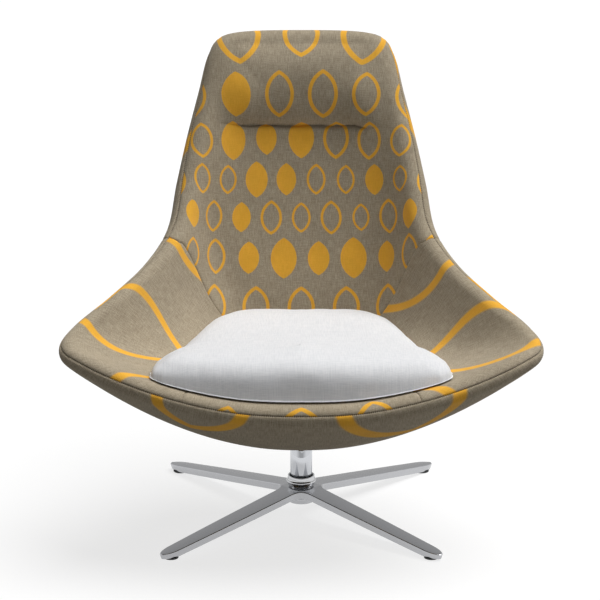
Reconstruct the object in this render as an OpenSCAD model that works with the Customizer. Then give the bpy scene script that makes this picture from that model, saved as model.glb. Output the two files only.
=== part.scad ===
// Pedestal swivel armchair: an upholstered shell on a column and a four-legged base.
// Millimetres. Z is up, the front faces -Y, and the origin is on the floor on the swivel axis.
// Left and right are as seen from the front, so the left arm is at -X.

/* [Armchair] */
// Width across the arms
chair_w = 924; // [860:1:980]
// Reach of the seat's front edge from the swivel axis
seat_reach = 402; // [375:1:430]
// Height of the headrest's top above the floor
chair_h = 911; // [860:1:960]
// Height of the shell's underside above the floor
base_z = 182; // [172:1:200]
// Radius of the rolled rim at the widest part of the arms
rim_r = 20; // [18:0.5:22]
// Length over which the panels turn into the rim
turn_l = 100; // [90:1:105]

/* [Upholstery] */
// Thickness of the woven covers
cover_t = 2; // [1:0.1:2.5]
// Foam between the moulded shell and the outer cover
outer_foam_t = 6; // [4:0.5:7]
// Wall of the moulded shell
shell_t = 9; // [6:0.5:10]
// Height of the padding above the fold of the headrest
headrest_h = 14; // [6:1:18]

/* [Cushion] */
// Height of the cushion's crown above the middle of the seat
cushion_h = 76.5; // [60:0.5:90]
// Gap between the cushion and the seat
cushion_gap = 2.5; // [2.4:0.1:3.5]

/* [Base] */
// Reach of each leg's tip from the swivel axis
leg_reach = 382; // [340:1:400]
// Width of a leg at the hub
leg_root_w = 45; // [36:0.5:48]
// Width of a leg at its rounded end
leg_tip_w = 31; // [30:0.5:36]
// Height of a leg's section at the hub
leg_root_h = 15.5; // [12:0.5:20]
// Height of a leg's section at its end
leg_tip_h = 10; // [9:0.5:12]
// Width of the chamfer along a leg's top edges
leg_chamfer = 1.5; // [0.5:0.1:2]
// Radius of the fillets between the legs
leg_fillet_r = 25; // [15:1:35]
// Radius of a glide
glide_r = 14.5; // [12:0.5:15]
// Height of a glide
glide_h = 3.5; // [3:0.1:5]

/* [Hub] */
// Radius of the hub
hub_r = 26; // [25:0.5:28]
// Height of the hub's underside above the floor
hub_z = 27; // [24:0.5:30]
// Height of the hub
hub_h = 35; // [33:0.5:38]
// Height of the collar on the hub
collar_h = 20; // [18:0.5:24]
// Radius of the collar's raised lip
collar_lip_r = 30; // [29:0.5:32]

/* [Column] */
// Radius of the column
column_r = 22; // [21.5:0.25:22.5]
// Wall of the column
column_wall = 3.5; // [3:0.25:4]
// Radius of the spindle inside the column
spindle_r = 14; // [13:0.25:14.5]
// Length of each bush
bush_h = 20; // [15:1:30]
// Radius of the mounting plate
plate_r = 80; // [75:1:85]
// Thickness of the mounting plate
plate_t = 6; // [5:0.5:8]
// Thickness of the seat board
board_t = 12; // [10:0.5:15]
// Radius of the mounting bolts
bolt_r = 4; // [3:0.5:5]

/* [Hidden] */
$fn = 64;

// Small clearances and overruns
running_gap = 0.05;
end_gap = 0.3;
hole_gap = 0.3;
overrun = 1;

// The shell is a loop of sections. Each section runs from the middle of the seat or back, at x = 0,
// out to the rim, and round the rim to the middle of the underside or rear. Sections are counted by
// a key from 0 at the front to 15 at the top of the headrest, and the left half mirrors the right.
// Shares in these tables are of half the width, of the seat's reach and of the shell's height.
front_rim_share = 1.1;
top_rim_share = 1.55;
half_w = chair_w / 2 - rim_r;
reach = seat_reach - rim_r * front_rim_share;
rise = chair_h - rim_r * top_rim_share - base_z;

// Centre of the rolled rim at each key: x, y, z
rim_shares = [
    [0, -1, 0.21], [0.255, -0.985, 0.215], [0.50, -0.925, 0.235], [0.725, -0.825, 0.265],
    [0.915, -0.70, 0.30], [1, -0.575, 0.32], [0.955, -0.395, 0.345], [0.81, -0.165, 0.39],
    [0.66, 0.105, 0.445], [0.555, 0.345, 0.52], [0.51, 0.53, 0.635], [0.46, 0.675, 0.755],
    [0.405, 0.80, 0.87], [0.36, 0.905, 0.965], [0.295, 0.95, 0.995], [0, 0.97, 1]];
// Where the inside turns up from the seat, or out from the back, towards the rim
inner_shares = [
    [0, -0.77, 0.22], [0.185, -0.765, 0.22], [0.35, -0.74, 0.22], [0.495, -0.66, 0.225],
    [0.57, -0.555, 0.225], [0.60, -0.435, 0.22], [0.60, -0.29, 0.215], [0.57, -0.09, 0.21],
    [0.51, 0.13, 0.205], [0.43, 0.34, 0.20], [0.385, 0.485, 0.39], [0.325, 0.645, 0.61],
    [0.30, 0.77, 0.79], [0.24, 0.80, 0.85], [0.15, 0.82, 0.905], [0, 0.835, 0.93]];
// Where the outside turns up from the underside, or out from the rear, towards the rim
outer_shares = [
    [0, -0.64, 0.025], [0.205, -0.625, 0.025], [0.365, -0.575, 0.028], [0.485, -0.49, 0.034],
    [0.545, -0.395, 0.038], [0.555, -0.29, 0.036], [0.53, -0.13, 0.024], [0.50, 0.04, 0.015],
    [0.475, 0.225, 0.03], [0.445, 0.415, 0.095], [0.41, 0.64, 0.325], [0.335, 0.80, 0.545],
    [0.28, 0.915, 0.735], [0.215, 0.975, 0.81], [0.13, 1.01, 0.88], [0, 1.02, 0.90]];
// Where the section starts on the inside and ends on the outside, at x = 0: y, z, y, z
spine_shares = [
    [-0.62, 0.22, -0.30, 0], [-0.60, 0.215, -0.285, 0], [-0.565, 0.215, -0.255, 0],
    [-0.52, 0.215, -0.215, 0], [-0.46, 0.215, -0.165, 0], [-0.375, 0.21, -0.10, 0],
    [-0.24, 0.21, -0.015, 0], [-0.08, 0.205, 0.09, 0], [0.13, 0.195, 0.235, 0.02],
    [0.34, 0.20, 0.41, 0.085], [0.485, 0.375, 0.64, 0.32], [0.645, 0.60, 0.80, 0.54],
    [0.77, 0.785, 0.915, 0.73], [0.795, 0.825, 0.965, 0.79], [0.81, 0.85, 0.985, 0.83],
    [0.82, 0.87, 1.0, 0.865]];
// Rim radius as a share of rim_r, and the inside's and outside's turn as shares of turn_l
roll_shares = [
    [1.1, 0.60, 0.80], [1.1, 0.60, 0.80], [1.05, 0.60, 0.80], [1, 0.55, 0.80], [1, 0.45, 0.70],
    [1, 0.40, 0.60], [1, 0.60, 0.80], [1.05, 0.80, 1.10], [1.1, 0.90, 1.20], [1.2, 0.90, 1.20],
    [1.3, 0.75, 0.90], [1.4, 0.70, 0.80], [1.5, 0.60, 0.70], [1.55, 0.40, 0.50],
    [1.55, 0.40, 0.50], [1.55, 0.50, 0.60]];
// How far along from the spine to the turn the section leaves its start's direction
start_share = 0.95;

// Keys of the seams: from the lip to the arms, from the arms to the back, and at the headrest's fold
seam_keys = [2, 8.8, 12];
// Keys at which sections are made, the seams' own among them
section_keys = [0, 0.7, 1.4, 2, 2.7, 3.4, 4, 4.5, 5, 5.5, 6.2, 7, 8, 8.8, 10, 11.2, 12, 12.3, 13, 13.5,
    14, 15];
lip_end = search(seam_keys[0], section_keys)[0];
arm_end = search(seam_keys[1], section_keys)[0];
fold = search(seam_keys[2], section_keys)[0];
fold_key = seam_keys[2];
half = len(section_keys) - 1;
around = 2 * half;
// Rows of points along each profile, as shares of its curve parameter, then rows round the rim
row_shares = [0, 0.17, 0.34, 0.50, 0.64, 0.78, 0.90, 1];
deck_share = 0.50;
deck_row = search(deck_share, row_shares)[0];
edge_row = len(row_shares) - 1;
nose_rows = 2;
seam_row = edge_row + nose_rows;
// The fold runs level across the back, seen along this direction, because sections near it are
// carried forward on their way to the rim: by this many keys, between the first and last key given
level_shares = [0, 0.28, 0.96];
fold_drop_keys = 0.73;
fold_span_keys = [9.6, 14.6];
fold_power = 1.5;
// How the headrest's padding fades towards its sides and grows quickly above the fold
fade_start_share = 0.22;
fade_end_share = 0.41;
swell_share = 0.45;
below_fold_share = 0.15;

function unit(v) = v / norm(v);
function mirrored(v) = [-v.x, v.y, v.z];
function placed(share) = [share.x * half_w, share.y * reach, base_z + share.z * rise];
function clamp(v) = max(0, min(1, v));
function smooth(v) = let (c = clamp(v)) c * c * (3 - 2 * c);
function mix(a, b, t) = a + (b - a) * t;

// Rows of control values for each key: rim, inner turn, outer turn, inner start, outer start, roll
key_rows = [for (k = [0:len(rim_shares) - 1]) [
    placed(rim_shares[k]),
    placed(inner_shares[k]),
    placed(outer_shares[k]),
    placed([0, spine_shares[k][0], spine_shares[k][1]]),
    placed([0, spine_shares[k][2], spine_shares[k][3]]),
    [roll_shares[k][0] * rim_r, roll_shares[k][1] * turn_l, roll_shares[k][2] * turn_l]]];
top_key = len(rim_shares) - 1;

function key_value(c, k) = k < 0 ? (c == 5 ? key_rows[-k][c] : mirrored(key_rows[-k][c]))
    : k > top_key ? (c == 5 ? key_rows[2 * top_key - k][c] : mirrored(key_rows[2 * top_key - k][c]))
    : key_rows[k][c];

// A smooth curve through one column of the rows
function blend(c, s) = let (k = floor(s), t = s - k, p = key_value(c, k - 1), q = key_value(c, k),
    r = key_value(c, k + 1), w = key_value(c, k + 2))
    (2 * q + (r - p) * t + (2 * p - 5 * q + 4 * r - w) * t * t + (3 * q - p - 3 * r + w) * t * t * t) / 2;

// The two profiles of a section, each four control points, and its rim
function section(s) = let (
    rim = blend(0, s),
    step = 1 / 100,
    along = unit(blend(0, s + step) - blend(0, s - step)),
    roll = blend(5, s),
    in_turn = blend(1, s),
    out_turn = blend(2, s),
    in_start = blend(3, s),
    out_start = blend(4, s),
    in_lean = rim - in_turn,
    out_lean = rim - out_turn,
    in_dir = unit(in_lean - (in_lean * along) * along),
    out_dir = unit(out_lean - (out_lean * along) * along),
    in_side = -cross(along, in_dir),
    out_side = cross(along, out_dir),
    in_end = rim + roll[0] * in_side,
    out_end = rim + roll[0] * out_side)
    [[in_start, mix(in_start, in_turn, start_share), in_end - roll[1] * in_dir, in_end],
     [out_start, mix(out_start, out_turn, start_share), out_end - roll[2] * out_dir, out_end],
     rim, in_side, out_side, unit(in_dir + out_dir), roll[0]];

function curve(p, t) = let (u = 1 - t)
    u * u * u * p[0] + 3 * u * u * t * p[1] + 3 * u * t * t * p[2] + t * t * t * p[3];
function turned(a, b, t) = let (angle = acos(max(-1, min(1, a * b))))
    (sin((1 - t) * angle) * a + sin(t * angle) * b) / sin(angle);

// The key at which a section's point lies, carried forward near the fold
function bent(s, t) = s - fold_drop_keys * pow(t, fold_power)
    * smooth((s - fold_span_keys[0]) / (fold_key - fold_span_keys[0]))
    * smooth((fold_span_keys[1] - s) / (fold_span_keys[1] - fold_key));

// The headrest's padding at a point: highest just above the fold, none at the top and at the sides
fold_level = blend(3, fold_key) * level_shares;
top_level = blend(0, top_key) * level_shares;
function swell(p) = let (
    above = (p * level_shares - fold_level) / (top_level - fold_level),
    fade = (abs(p.x) / half_w - fade_start_share) / (fade_end_share - fade_start_share),
    height = headrest_h * (above >= 0 ? 1 : below_fold_share))
    abs(above) >= 1 ? 0 : height * sin(180 * pow(abs(above), swell_share)) * (1 - smooth(fade));

// Depths below the outside at which the outer cover, outer foam and shell end
depth_1 = cover_t;
depth_2 = cover_t + outer_foam_t;
depth_3 = cover_t + outer_foam_t + shell_t;

// Six points for a row of a section: inner cover's two faces, shell's two faces, outer cover's two
function layers(form, row) = row <= edge_row
    ? let (t = row_shares[row],
        a = curve(form[0], t),
        b = curve(form[1], t),
        u = unit(b - a),
        raised = a - swell(a) * u)
        [raised, raised + cover_t * u, b - depth_3 * u, b - depth_2 * u, b - depth_1 * u, b]
    : let (t = (row - edge_row) / nose_rows,
        a = turned(form[3], form[5], t),
        b = turned(form[4], form[5], t),
        rim = form[2],
        r = form[6])
        [rim + r * a, rim + (r - cover_t) * a, rim, rim, rim + (r - cover_t) * b, rim + r * b];

half_net = [for (s = section_keys) [for (row = [0:seam_row])
    layers(section(bent(s, row_shares[min(row, edge_row)])), row)]];

function wrap(c) = (c + around) % around;
function net(c, row, layer) = let (w = wrap(c))
    w <= half ? half_net[w][row][layer] : mirrored(half_net[around - w][row][layer]);

// Point numbers: the two halves share their points at x = 0, in row 0
function number(c, row, side) = let (w = wrap(c))
    ((row == 0 ? min(w, around - w) : w) * (seam_row + 1) + row) * 2 + side;

// Two triangles of a four-sided patch, cut along its first diagonal, or along the other one
function patch(p, other) = other ? [[p[0], p[1], p[3]], [p[1], p[2], p[3]]]
    : [[p[0], p[1], p[2]], [p[0], p[2], p[3]]];
function other_cut(c) = wrap(c) >= half;
// At the very top the first row's patches are cut the other way, so that none is flat on x = 0
function skin_cut(c, row) = other_cut(c) != (row == 0 && (wrap(c) == half - 1 || wrap(c) == half));

// The outer cover's edge is cut like the inner covers' edges, which it meets at the rim's seam
cover_layer = len(layers(section(0), 0)) - 2;
function edge_cut(c, low) = other_cut(c) != (low == cover_layer);

// One layer of the shell as a closed solid: between two faces of the net, over runs of sections
module slab(runs, first_row, last_row, low, high) {
    points = [for (c = [0:around - 1]) for (row = [0:seam_row])
        for (layer = [low, high]) net(c, row, layer)];
    skins = [for (run = runs) for (c = [run[0]:run[1] - 1]) for (row = [first_row:last_row - 1])
        let (other = skin_cut(c, row))
        each concat(
            patch([number(c, row, 0), number(c + 1, row, 0), number(c + 1, row + 1, 0),
                number(c, row + 1, 0)], other),
            [for (f = patch([number(c, row, 1), number(c + 1, row, 1), number(c + 1, row + 1, 1),
                number(c, row + 1, 1)], other)) [f[2], f[1], f[0]]])];
    outer_edge = [for (run = runs) for (c = [run[0]:run[1] - 1])
        each patch([number(c, last_row, 0), number(c + 1, last_row, 0), number(c + 1, last_row, 1),
            number(c, last_row, 1)], edge_cut(c, low))];
    inner_edge = first_row == 0 ? [] : [for (run = runs) for (c = [run[0]:run[1] - 1])
        for (f = patch([number(c, first_row, 0), number(c + 1, first_row, 0),
            number(c + 1, first_row, 1), number(c, first_row, 1)], other_cut(c))) [f[2], f[1], f[0]]];
    ends = [for (run = runs) if (run[1] - run[0] < around) for (row = [first_row:last_row - 1])
        each concat(
            patch([number(run[0], row, 0), number(run[0], row + 1, 0), number(run[0], row + 1, 1),
                number(run[0], row, 1)], false),
            [for (f = patch([number(run[1], row, 0), number(run[1], row + 1, 0),
                number(run[1], row + 1, 1), number(run[1], row, 1)], false)) [f[2], f[1], f[0]]])];
    polyhedron(points, concat(skins, outer_edge, inner_edge, ends), convexity = 10);
}

whole_loop = [[0, around]];
deck_run = [[-arm_end, arm_end]];
lip_run = [[-lip_end, lip_end]];
right_arm_run = [[lip_end, arm_end]];
left_arm_run = [[-arm_end, -lip_end]];
back_runs = [[arm_end, fold], [around - fold, around - arm_end]];
headrest_run = [[fold, around - fold]];

// The rolled rim's foam: a closed tube between the covers and the ends of the shell and its foams
module rim_tube() {
    rows = [[edge_row, 1], [edge_row + 1, 1], [seam_row, 1], [edge_row + 1, 4], [edge_row, 4],
        [edge_row, 3], [edge_row, 2]];
    sides = len(rows);
    points = [for (c = [0:around - 1]) for (r = rows) net(c, r[0], r[1])];
    faces = [for (c = [0:around - 1]) for (k = [0:sides - 1])
        let (a = c * sides, b = wrap(c + 1) * sides, n = (k + 1) % sides)
        each patch([a + k, b + k, b + n, a + n], (k >= nose_rows) != other_cut(c))];
    polyhedron(points, faces, convexity = 10);
}

// Seat mounting, from the plate up
pad_r = plate_r;
pad_z = base_z + plate_t;
near_share = 1.5;
pad_rise = 2;
board_z = max([for (m = [0:half]) for (row = [0:edge_row]) let (p = half_net[m][row][2])
    if (norm([p.x, p.y]) < near_share * pad_r) p.z]) + pad_rise;
board_top = board_z + board_t;
bolt_circle_share = 0.7;
bolt_circle = plate_r * bolt_circle_share;
bolt_head_r = 1.7 * bolt_r;
bolt_head_h = 1.4 * bolt_r;
nut_flange_r = 2.6 * bolt_r;
nut_flange_t = 0.35 * bolt_r;
nut_barrel_r = 1.4 * bolt_r;
nut_inner_r = bolt_r + running_gap;
bolt_clear_r = bolt_r + hole_gap;

// Heights up the hub and the column
hub_top = hub_z + hub_h;
collar_floor_t = 6;
collar_gap = 1.5;
collar_edge = 2;
collar_floor = hub_top + collar_floor_t;
collar_top = hub_top + collar_h;
thrust_t = 2;
column_z = collar_floor + thrust_t + end_gap;
column_bore_r = column_r - column_wall;
bush_bore_r = spindle_r + running_gap;
upper_bush_h = 14;
upper_bush_drop = 34;
upper_bush_z = base_z - upper_bush_drop;
upper_bush_top = upper_bush_z + upper_bush_h;
spindle_top = upper_bush_top + end_gap;
spindle_foot_r = spindle_r * 0.7;
web_t = 4;
pocket_h = 11;
web_z = hub_z + pocket_h;
web_top = web_z + web_t;
pocket_r = hub_r * 0.73;
washer_t = 2;
nut_t = 5.5;
nut_across = spindle_r * 2.1;
cap_t = 2.5;
retaining_t = 3;
retaining_r = column_bore_r - overrun;
screw_r = spindle_r * 0.28;
screw_head_r = spindle_r * 0.5;
screw_head_h = spindle_r * 0.3;
screw_l = spindle_r * 1.4;

module ring(outer_r, inner_r, z, h) {
    translate([0, 0, z]) difference() {
        cylinder(r = outer_r, h = h);
        translate([0, 0, -overrun]) cylinder(r = inner_r, h = h + 2 * overrun);
    }
}

// Legs on the diagonals
leg_angles = [45, 135, 225, 315];
leg_drop = 2;
leg_top_z = hub_top - leg_drop;
leg_root_x = hub_r * 0.6;
leg_mid_share = 0.6;
leg_mid_x = leg_reach * leg_mid_share;
leg_mid_w = mix(leg_root_w, leg_tip_w, leg_mid_share) + leg_chamfer;
tip_length = 1.2 * leg_tip_w;
tip_top_z = glide_h + leg_tip_h;
leg_slice = 1;
web_inset = 0.3;
glide_x = leg_reach - 1.85 * glide_r;
glide_screw_r = glide_r * 0.14;
glide_head_r = glide_r * 0.27;
glide_screw_h = leg_tip_h * 0.6;
glide_head_z = glide_h * 0.2;
glide_edge = glide_h * 0.25;

// The half ellipse of a leg's end, drawn in by an amount
module leg_end(inset) {
    polygon([for (a = [-90:15:90])
        [(tip_length - inset) * cos(a), (leg_tip_w / 2 - inset) * sin(a)]]);
}
module leg_section(w, low, high) {
    rotate([90, 0, 90]) linear_extrude(leg_slice) polygon([[-w / 2, low], [w / 2, low],
        [w / 2, high - leg_chamfer], [w / 2 - leg_chamfer, high],
        [leg_chamfer - w / 2, high], [-w / 2, high - leg_chamfer]]);
}
module leg() {
    tip_x = leg_reach - tip_length;
    mid_share = (leg_mid_x - leg_root_x) / (tip_x - leg_root_x);
    root_low = leg_top_z - leg_root_h;
    hull() {
        translate([leg_root_x, 0, 0]) leg_section(leg_root_w, root_low, leg_top_z);
        translate([leg_mid_x, 0, 0])
            leg_section(leg_mid_w, mix(root_low, glide_h, mid_share), mix(leg_top_z, tip_top_z, mid_share));
        translate([tip_x, 0, glide_h]) linear_extrude(leg_tip_h - leg_chamfer) leg_end(0);
        translate([tip_x, 0, glide_h]) linear_extrude(leg_tip_h) leg_end(leg_chamfer);
    }
}

// The web that fills the corners between the legs, just within their sides, tops and undersides
module leg_web() {
    side_w = leg_root_w / 2 - web_inset;
    centre = side_w + leg_fillet_r;
    low_z = leg_top_z - leg_root_h + web_inset;
    high_z = leg_top_z - web_inset;
    fall_share = (leg_top_z - tip_top_z) / (leg_reach - tip_length - leg_root_x);
    foot_x = leg_root_x + (high_z - low_z) / fall_share;
    intersection() {
        translate([0, 0, low_z]) linear_extrude(high_z - low_z) rotate(leg_angles[0])
            polygon([for (q = [0:90:270]) for (a = [270:-15:180]) let (
                x = centre + leg_fillet_r * cos(a),
                y = centre + leg_fillet_r * sin(a))
                [x * cos(q) - y * sin(q), x * sin(q) + y * cos(q)]]);
        translate([0, 0, low_z])
            cylinder(r1 = foot_x * sqrt(2), r2 = leg_root_x * sqrt(2), h = high_z - low_z, $fn = 4);
    }
}

module star_base() color("#c9cacc") difference() {
    union() {
        translate([0, 0, hub_z]) cylinder(r = hub_r, h = hub_h);
        leg_web();
        for (a = leg_angles) rotate(a) leg();
    }
    translate([0, 0, web_top]) cylinder(r = spindle_r, h = hub_h);
    translate([0, 0, hub_z]) cylinder(r = spindle_foot_r, h = hub_h);
    translate([0, 0, hub_z - hub_h]) cylinder(r = pocket_r, h = hub_h + pocket_h);
    for (a = leg_angles) rotate(a) translate([glide_x, 0, 0])
        cylinder(r = glide_screw_r, h = glide_h + glide_screw_h, $fn = 32);
}

module glide(a) color("#232427") rotate(a) translate([glide_x, 0, 0]) difference() {
    rotate_extrude() polygon([[0, 0], [glide_r - glide_edge, 0], [glide_r, glide_edge],
        [glide_r, glide_h], [0, glide_h]]);
    translate([0, 0, -overrun]) cylinder(r = glide_screw_r + running_gap, h = glide_h + 2 * overrun);
    translate([0, 0, -overrun]) cylinder(r = glide_head_r, h = overrun + glide_h - 2 * glide_head_z);
}
module glide_front_left() glide(leg_angles[2]);
module glide_front_right() glide(leg_angles[3]);
module glide_rear_left() glide(leg_angles[1]);
module glide_rear_right() glide(leg_angles[0]);

module glide_screws() color("#8d8f93") for (a = leg_angles) rotate(a) translate([glide_x, 0, 0]) {
    translate([0, 0, glide_head_z])
        cylinder(r = glide_head_r - running_gap, h = glide_h - 3 * glide_head_z, $fn = 32);
    translate([0, 0, glide_head_z])
        cylinder(r = glide_screw_r, h = glide_h + glide_screw_h - 2 * glide_head_z, $fn = 32);
}

module spindle() color("#9b9da1") difference() {
    union() {
        translate([0, 0, web_top]) cylinder(r = spindle_r, h = spindle_top - web_top);
        translate([0, 0, hub_z + cap_t + end_gap])
            cylinder(r = spindle_foot_r, h = web_top - hub_z - cap_t - end_gap);
    }
    translate([0, 0, spindle_top - screw_l]) cylinder(r = screw_r, h = screw_l + overrun);
}
module hub_washer() color("#a2a4a8")
    ring(pocket_r - overrun, spindle_foot_r + running_gap, web_z - washer_t, washer_t);
module hub_nut() color("#a2a4a8") translate([0, 0, web_z - washer_t - nut_t]) difference() {
    cylinder(d = nut_across, h = nut_t, $fn = 6);
    translate([0, 0, -overrun]) cylinder(r = spindle_foot_r + running_gap, h = nut_t + 2 * overrun);
}
module hub_cap() color("#232427") translate([0, 0, hub_z]) cylinder(r = pocket_r - running_gap, h = cap_t);

// The collar flares from the hub to its lip and closes in to a small gap round the column
module base_collar() color("#d3d4d6") {
    gap_r = column_r + collar_gap;
    lip_z = hub_top + collar_h * 0.45;
    rotate_extrude() polygon([[bush_bore_r, hub_top], [hub_r, hub_top],
        [collar_lip_r - collar_edge / 2, lip_z - collar_edge], [collar_lip_r, lip_z],
        [collar_lip_r - collar_edge / 2, lip_z + collar_edge],
        [gap_r + collar_edge * 1.5, collar_top - collar_edge],
        [gap_r + collar_edge, collar_top], [gap_r, collar_top], [gap_r, collar_floor],
        [bush_bore_r, collar_floor]]);
}
module thrust_washer() color("#e4e2da") ring(column_r, bush_bore_r, collar_floor, thrust_t);
module retaining_washer() color("#a2a4a8")
    ring(retaining_r, screw_r + running_gap, spindle_top, retaining_t);
module retaining_screw() color("#8d8f93") {
    translate([0, 0, spindle_top - screw_l + end_gap])
        cylinder(r = screw_r, h = screw_l + retaining_t - end_gap);
    translate([0, 0, spindle_top + retaining_t]) cylinder(r = screw_head_r, h = screw_head_h);
}

module column_tube() color("#dfe1e4") ring(column_r, column_bore_r, column_z, base_z - column_z);
module lower_bush() color("#e4e2da") ring(column_bore_r, bush_bore_r, column_z, bush_h);
module upper_bush() color("#e4e2da") ring(column_bore_r, bush_bore_r, upper_bush_z, upper_bush_h);

module bolt_places() for (a = [0:90:270]) rotate(a) translate([bolt_circle, 0, 0]) children();

module top_plate() color("#2c2d30") difference() {
    union() {
        translate([0, 0, base_z]) cylinder(r = plate_r, h = plate_t);
        ring(column_r + column_wall * 2, column_r, base_z - column_wall * 4, column_wall * 4);
    }
    bolt_places() translate([0, 0, base_z - overrun]) cylinder(r = bolt_clear_r, h = plate_t + 2 * overrun);
}
module plate_bolts() color("#55575b") bolt_places() {
    translate([0, 0, base_z - bolt_head_h]) cylinder(r = bolt_head_r, h = bolt_head_h);
    translate([0, 0, base_z]) cylinder(r = bolt_r, h = board_top - base_z - 2 * nut_flange_t);
}
module t_nuts() color("#a2a4a8") bolt_places() {
    ring(nut_flange_r, nut_inner_r, board_top - nut_flange_t, nut_flange_t);
    ring(nut_barrel_r, nut_inner_r, board_z + end_gap, board_t - end_gap - nut_flange_t);
}
module seat_board() color("#c3a06b") difference() {
    translate([0, 0, board_z]) cylinder(r = pad_r, h = board_t);
    bolt_places() translate([0, 0, board_z - overrun]) cylinder(r = nut_barrel_r, h = board_t + 2 * overrun);
    bolt_places() translate([0, 0, board_top - nut_flange_t])
        cylinder(r = nut_flange_r, h = nut_flange_t + overrun);
}

module shell_moulding() color("#3a3b3e") difference() {
    union() {
        slab(whole_loop, 0, edge_row, 2, 3);
        translate([0, 0, pad_z]) cylinder(r = pad_r, h = board_z - pad_z);
    }
    bolt_places() translate([0, 0, base_z]) cylinder(r = bolt_clear_r, h = board_z - base_z + overrun);
}
module seat_foam() color("#e9dfc2") difference() {
    slab(deck_run, 0, deck_row, 1, 2);
    cylinder(r = pad_r, h = board_top);
}
module front_lip_foam() color("#e9dfc2") slab(lip_run, deck_row, edge_row, 1, 2);
module arm_foam_left() color("#e9dfc2") slab(left_arm_run, deck_row, edge_row, 1, 2);
module arm_foam_right() color("#e9dfc2") slab(right_arm_run, deck_row, edge_row, 1, 2);
module back_foam() color("#e9dfc2") slab(back_runs, 0, edge_row, 1, 2);
module headrest_foam() color("#e9dfc2") slab(headrest_run, 0, edge_row, 1, 2);
module rim_roll() color("#e3d8b8") rim_tube();
module outer_foam() color("#e3d8b8") difference() {
    slab(whole_loop, 0, edge_row, 3, 4);
    cylinder(r = pad_r, h = board_top);
}
module outer_cover() color("#7f7566") difference() {
    slab(whole_loop, 0, seam_row, cover_layer, cover_layer + 1);
    cylinder(r = pad_r, h = board_top);
}
module seat_deck_panel() color("#4b4741") slab(deck_run, 0, deck_row, 0, 1);
module front_lip_panel() color("#8a8070") slab(lip_run, deck_row, seam_row, 0, 1);
module arm_panel_left() color("#8a8070") slab(left_arm_run, deck_row, seam_row, 0, 1);
module arm_panel_right() color("#8a8070") slab(right_arm_run, deck_row, seam_row, 0, 1);
module back_panel() color("#8a8070") slab(back_runs, 0, seam_row, 0, 1);
module headrest_panel() color("#8a8070") slab(headrest_run, 0, seam_row, 0, 1);

// The loose cushion follows the seat's face out to an edge, and its top is a flat crown with
// steep sides. Its sections use the same keys as the seat's.
cushion_keys = [0, 0.8, 1.6, 2.1, 2.5, 2.75, 3.0, 3.4, 4, 5, 6, 7, 7.8, 8.4, 8.8, 9];
// The edge at each key, as a share of the seat profile's parameter
cushion_edge_shares = [0.965, 0.975, 0.98, 0.98, 0.975, 0.92, 0.76, 0.61, 0.50, 0.415, 0.395, 0.42, 0.45,
    0.46, 0.40, 0.35];
// The crown's height at keys 0, 3, 6 and 9, as shares of cushion_h: along the middle, and at the sides
cushion_middle_shares = [1.14, 1.06, 0.94, 0.69];
cushion_side_shares = [1.14, 0.90, 0.90, 0.69];
cushion_top_keys = [0, 3, 6, 9];
// Roundness of the cushion: its front is boxy and leans in a little towards the top, and its sides
// are rounder behind the corners at these keys. Its rings of points lie at these angles
front_round_share = 0.18;
side_round_share = 0.25;
front_lean_share = 0.14;
corner_keys = [2, 3.4];
ring_angles = [90, 66, 51, 45, 39, 22, 0];
last_ring = len(ring_angles) - 1;
cushion_end = len(cushion_keys) - 1;
end_key = cushion_keys[cushion_end];
end_round_keys = 0.62;
lean_keys = [6.5, end_key];
lean_share = 0.5;
seat_z = base_z + inner_shares[0].z * rise;

function cell(list, v) = max(0, min(len(list) - 2, len([for (x = list) if (x <= v) x]) - 1));
// A point of the seat's face, on the triangles of its panel
function seat_point(s, t) = let (
    c = cell(section_keys, s),
    row = cell(row_shares, t),
    a = (s - section_keys[c]) / (section_keys[c + 1] - section_keys[c]),
    b = (t - row_shares[row]) / (row_shares[row + 1] - row_shares[row]),
    p = half_net[c][row][0],
    q = half_net[c + 1][row][0],
    r = half_net[c + 1][row + 1][0],
    w = half_net[c][row + 1][0])
    a >= b ? p + a * (q - p) + b * (r - q) : p + b * (w - p) + a * (r - w);
function seat_normal(s, t) = let (form = section(s)) unit(curve(form[0], t) - curve(form[1], t));
function crown(s, across) = let (k = cell(cushion_top_keys, s),
    part = (s - cushion_top_keys[k]) / (cushion_top_keys[k + 1] - cushion_top_keys[k]),
    middle = mix(cushion_middle_shares[k], cushion_middle_shares[k + 1], part),
    side = mix(cushion_side_shares[k], cushion_side_shares[k + 1], part))
    seat_z + cushion_h * mix(middle, side, across * across);

// A superellipse's point at an angle, for a roundness
function squared(angle, round_share) = let (power = 1 / round_share)
    [cos(angle), sin(angle)] / pow(pow(cos(angle), power) + pow(sin(angle), power), round_share);

// A column of points at one key and ring: underside and top, drawn in by a skin's thickness
function cushion_column(m, ring, skin) = let (
    mid_r = reach * 0.55,
    draw_in = 1 - skin / mid_r,
    s = min(cushion_keys[m], end_key - skin / mid_r),
    edge = cushion_edge_shares[m] * draw_in,
    angle = ring_angles[ring],
    front = 1 - clamp((s - corner_keys[0]) / (corner_keys[1] - corner_keys[0])),
    place = squared(angle, mix(side_round_share, front_round_share, front)),
    across = place.x * (1 - front_lean_share * front * sin(angle) * sin(angle)),
    x = clamp(1 - (end_key - cushion_keys[m]) / end_round_keys),
    rounding = pow(1 - pow(x, 1 / side_round_share), side_round_share),
    lean = lean_share * clamp((cushion_keys[m] - lean_keys[0]) / (lean_keys[1] - lean_keys[0])),
    lift = cushion_gap + skin,
    edge_z = seat_point(s, edge).z + lift,
    low = seat_point(s, edge * across) + lift * seat_normal(s, edge * across),
    top_z = crown(cushion_keys[m], across) - skin,
    h = max(edge_z + (top_z - edge_z) * place.y - low.z, 0) * rounding)
    ring == last_ring || m == cushion_end ? [low, low] : [low, low + h * [0, lean, 1]];

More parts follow.
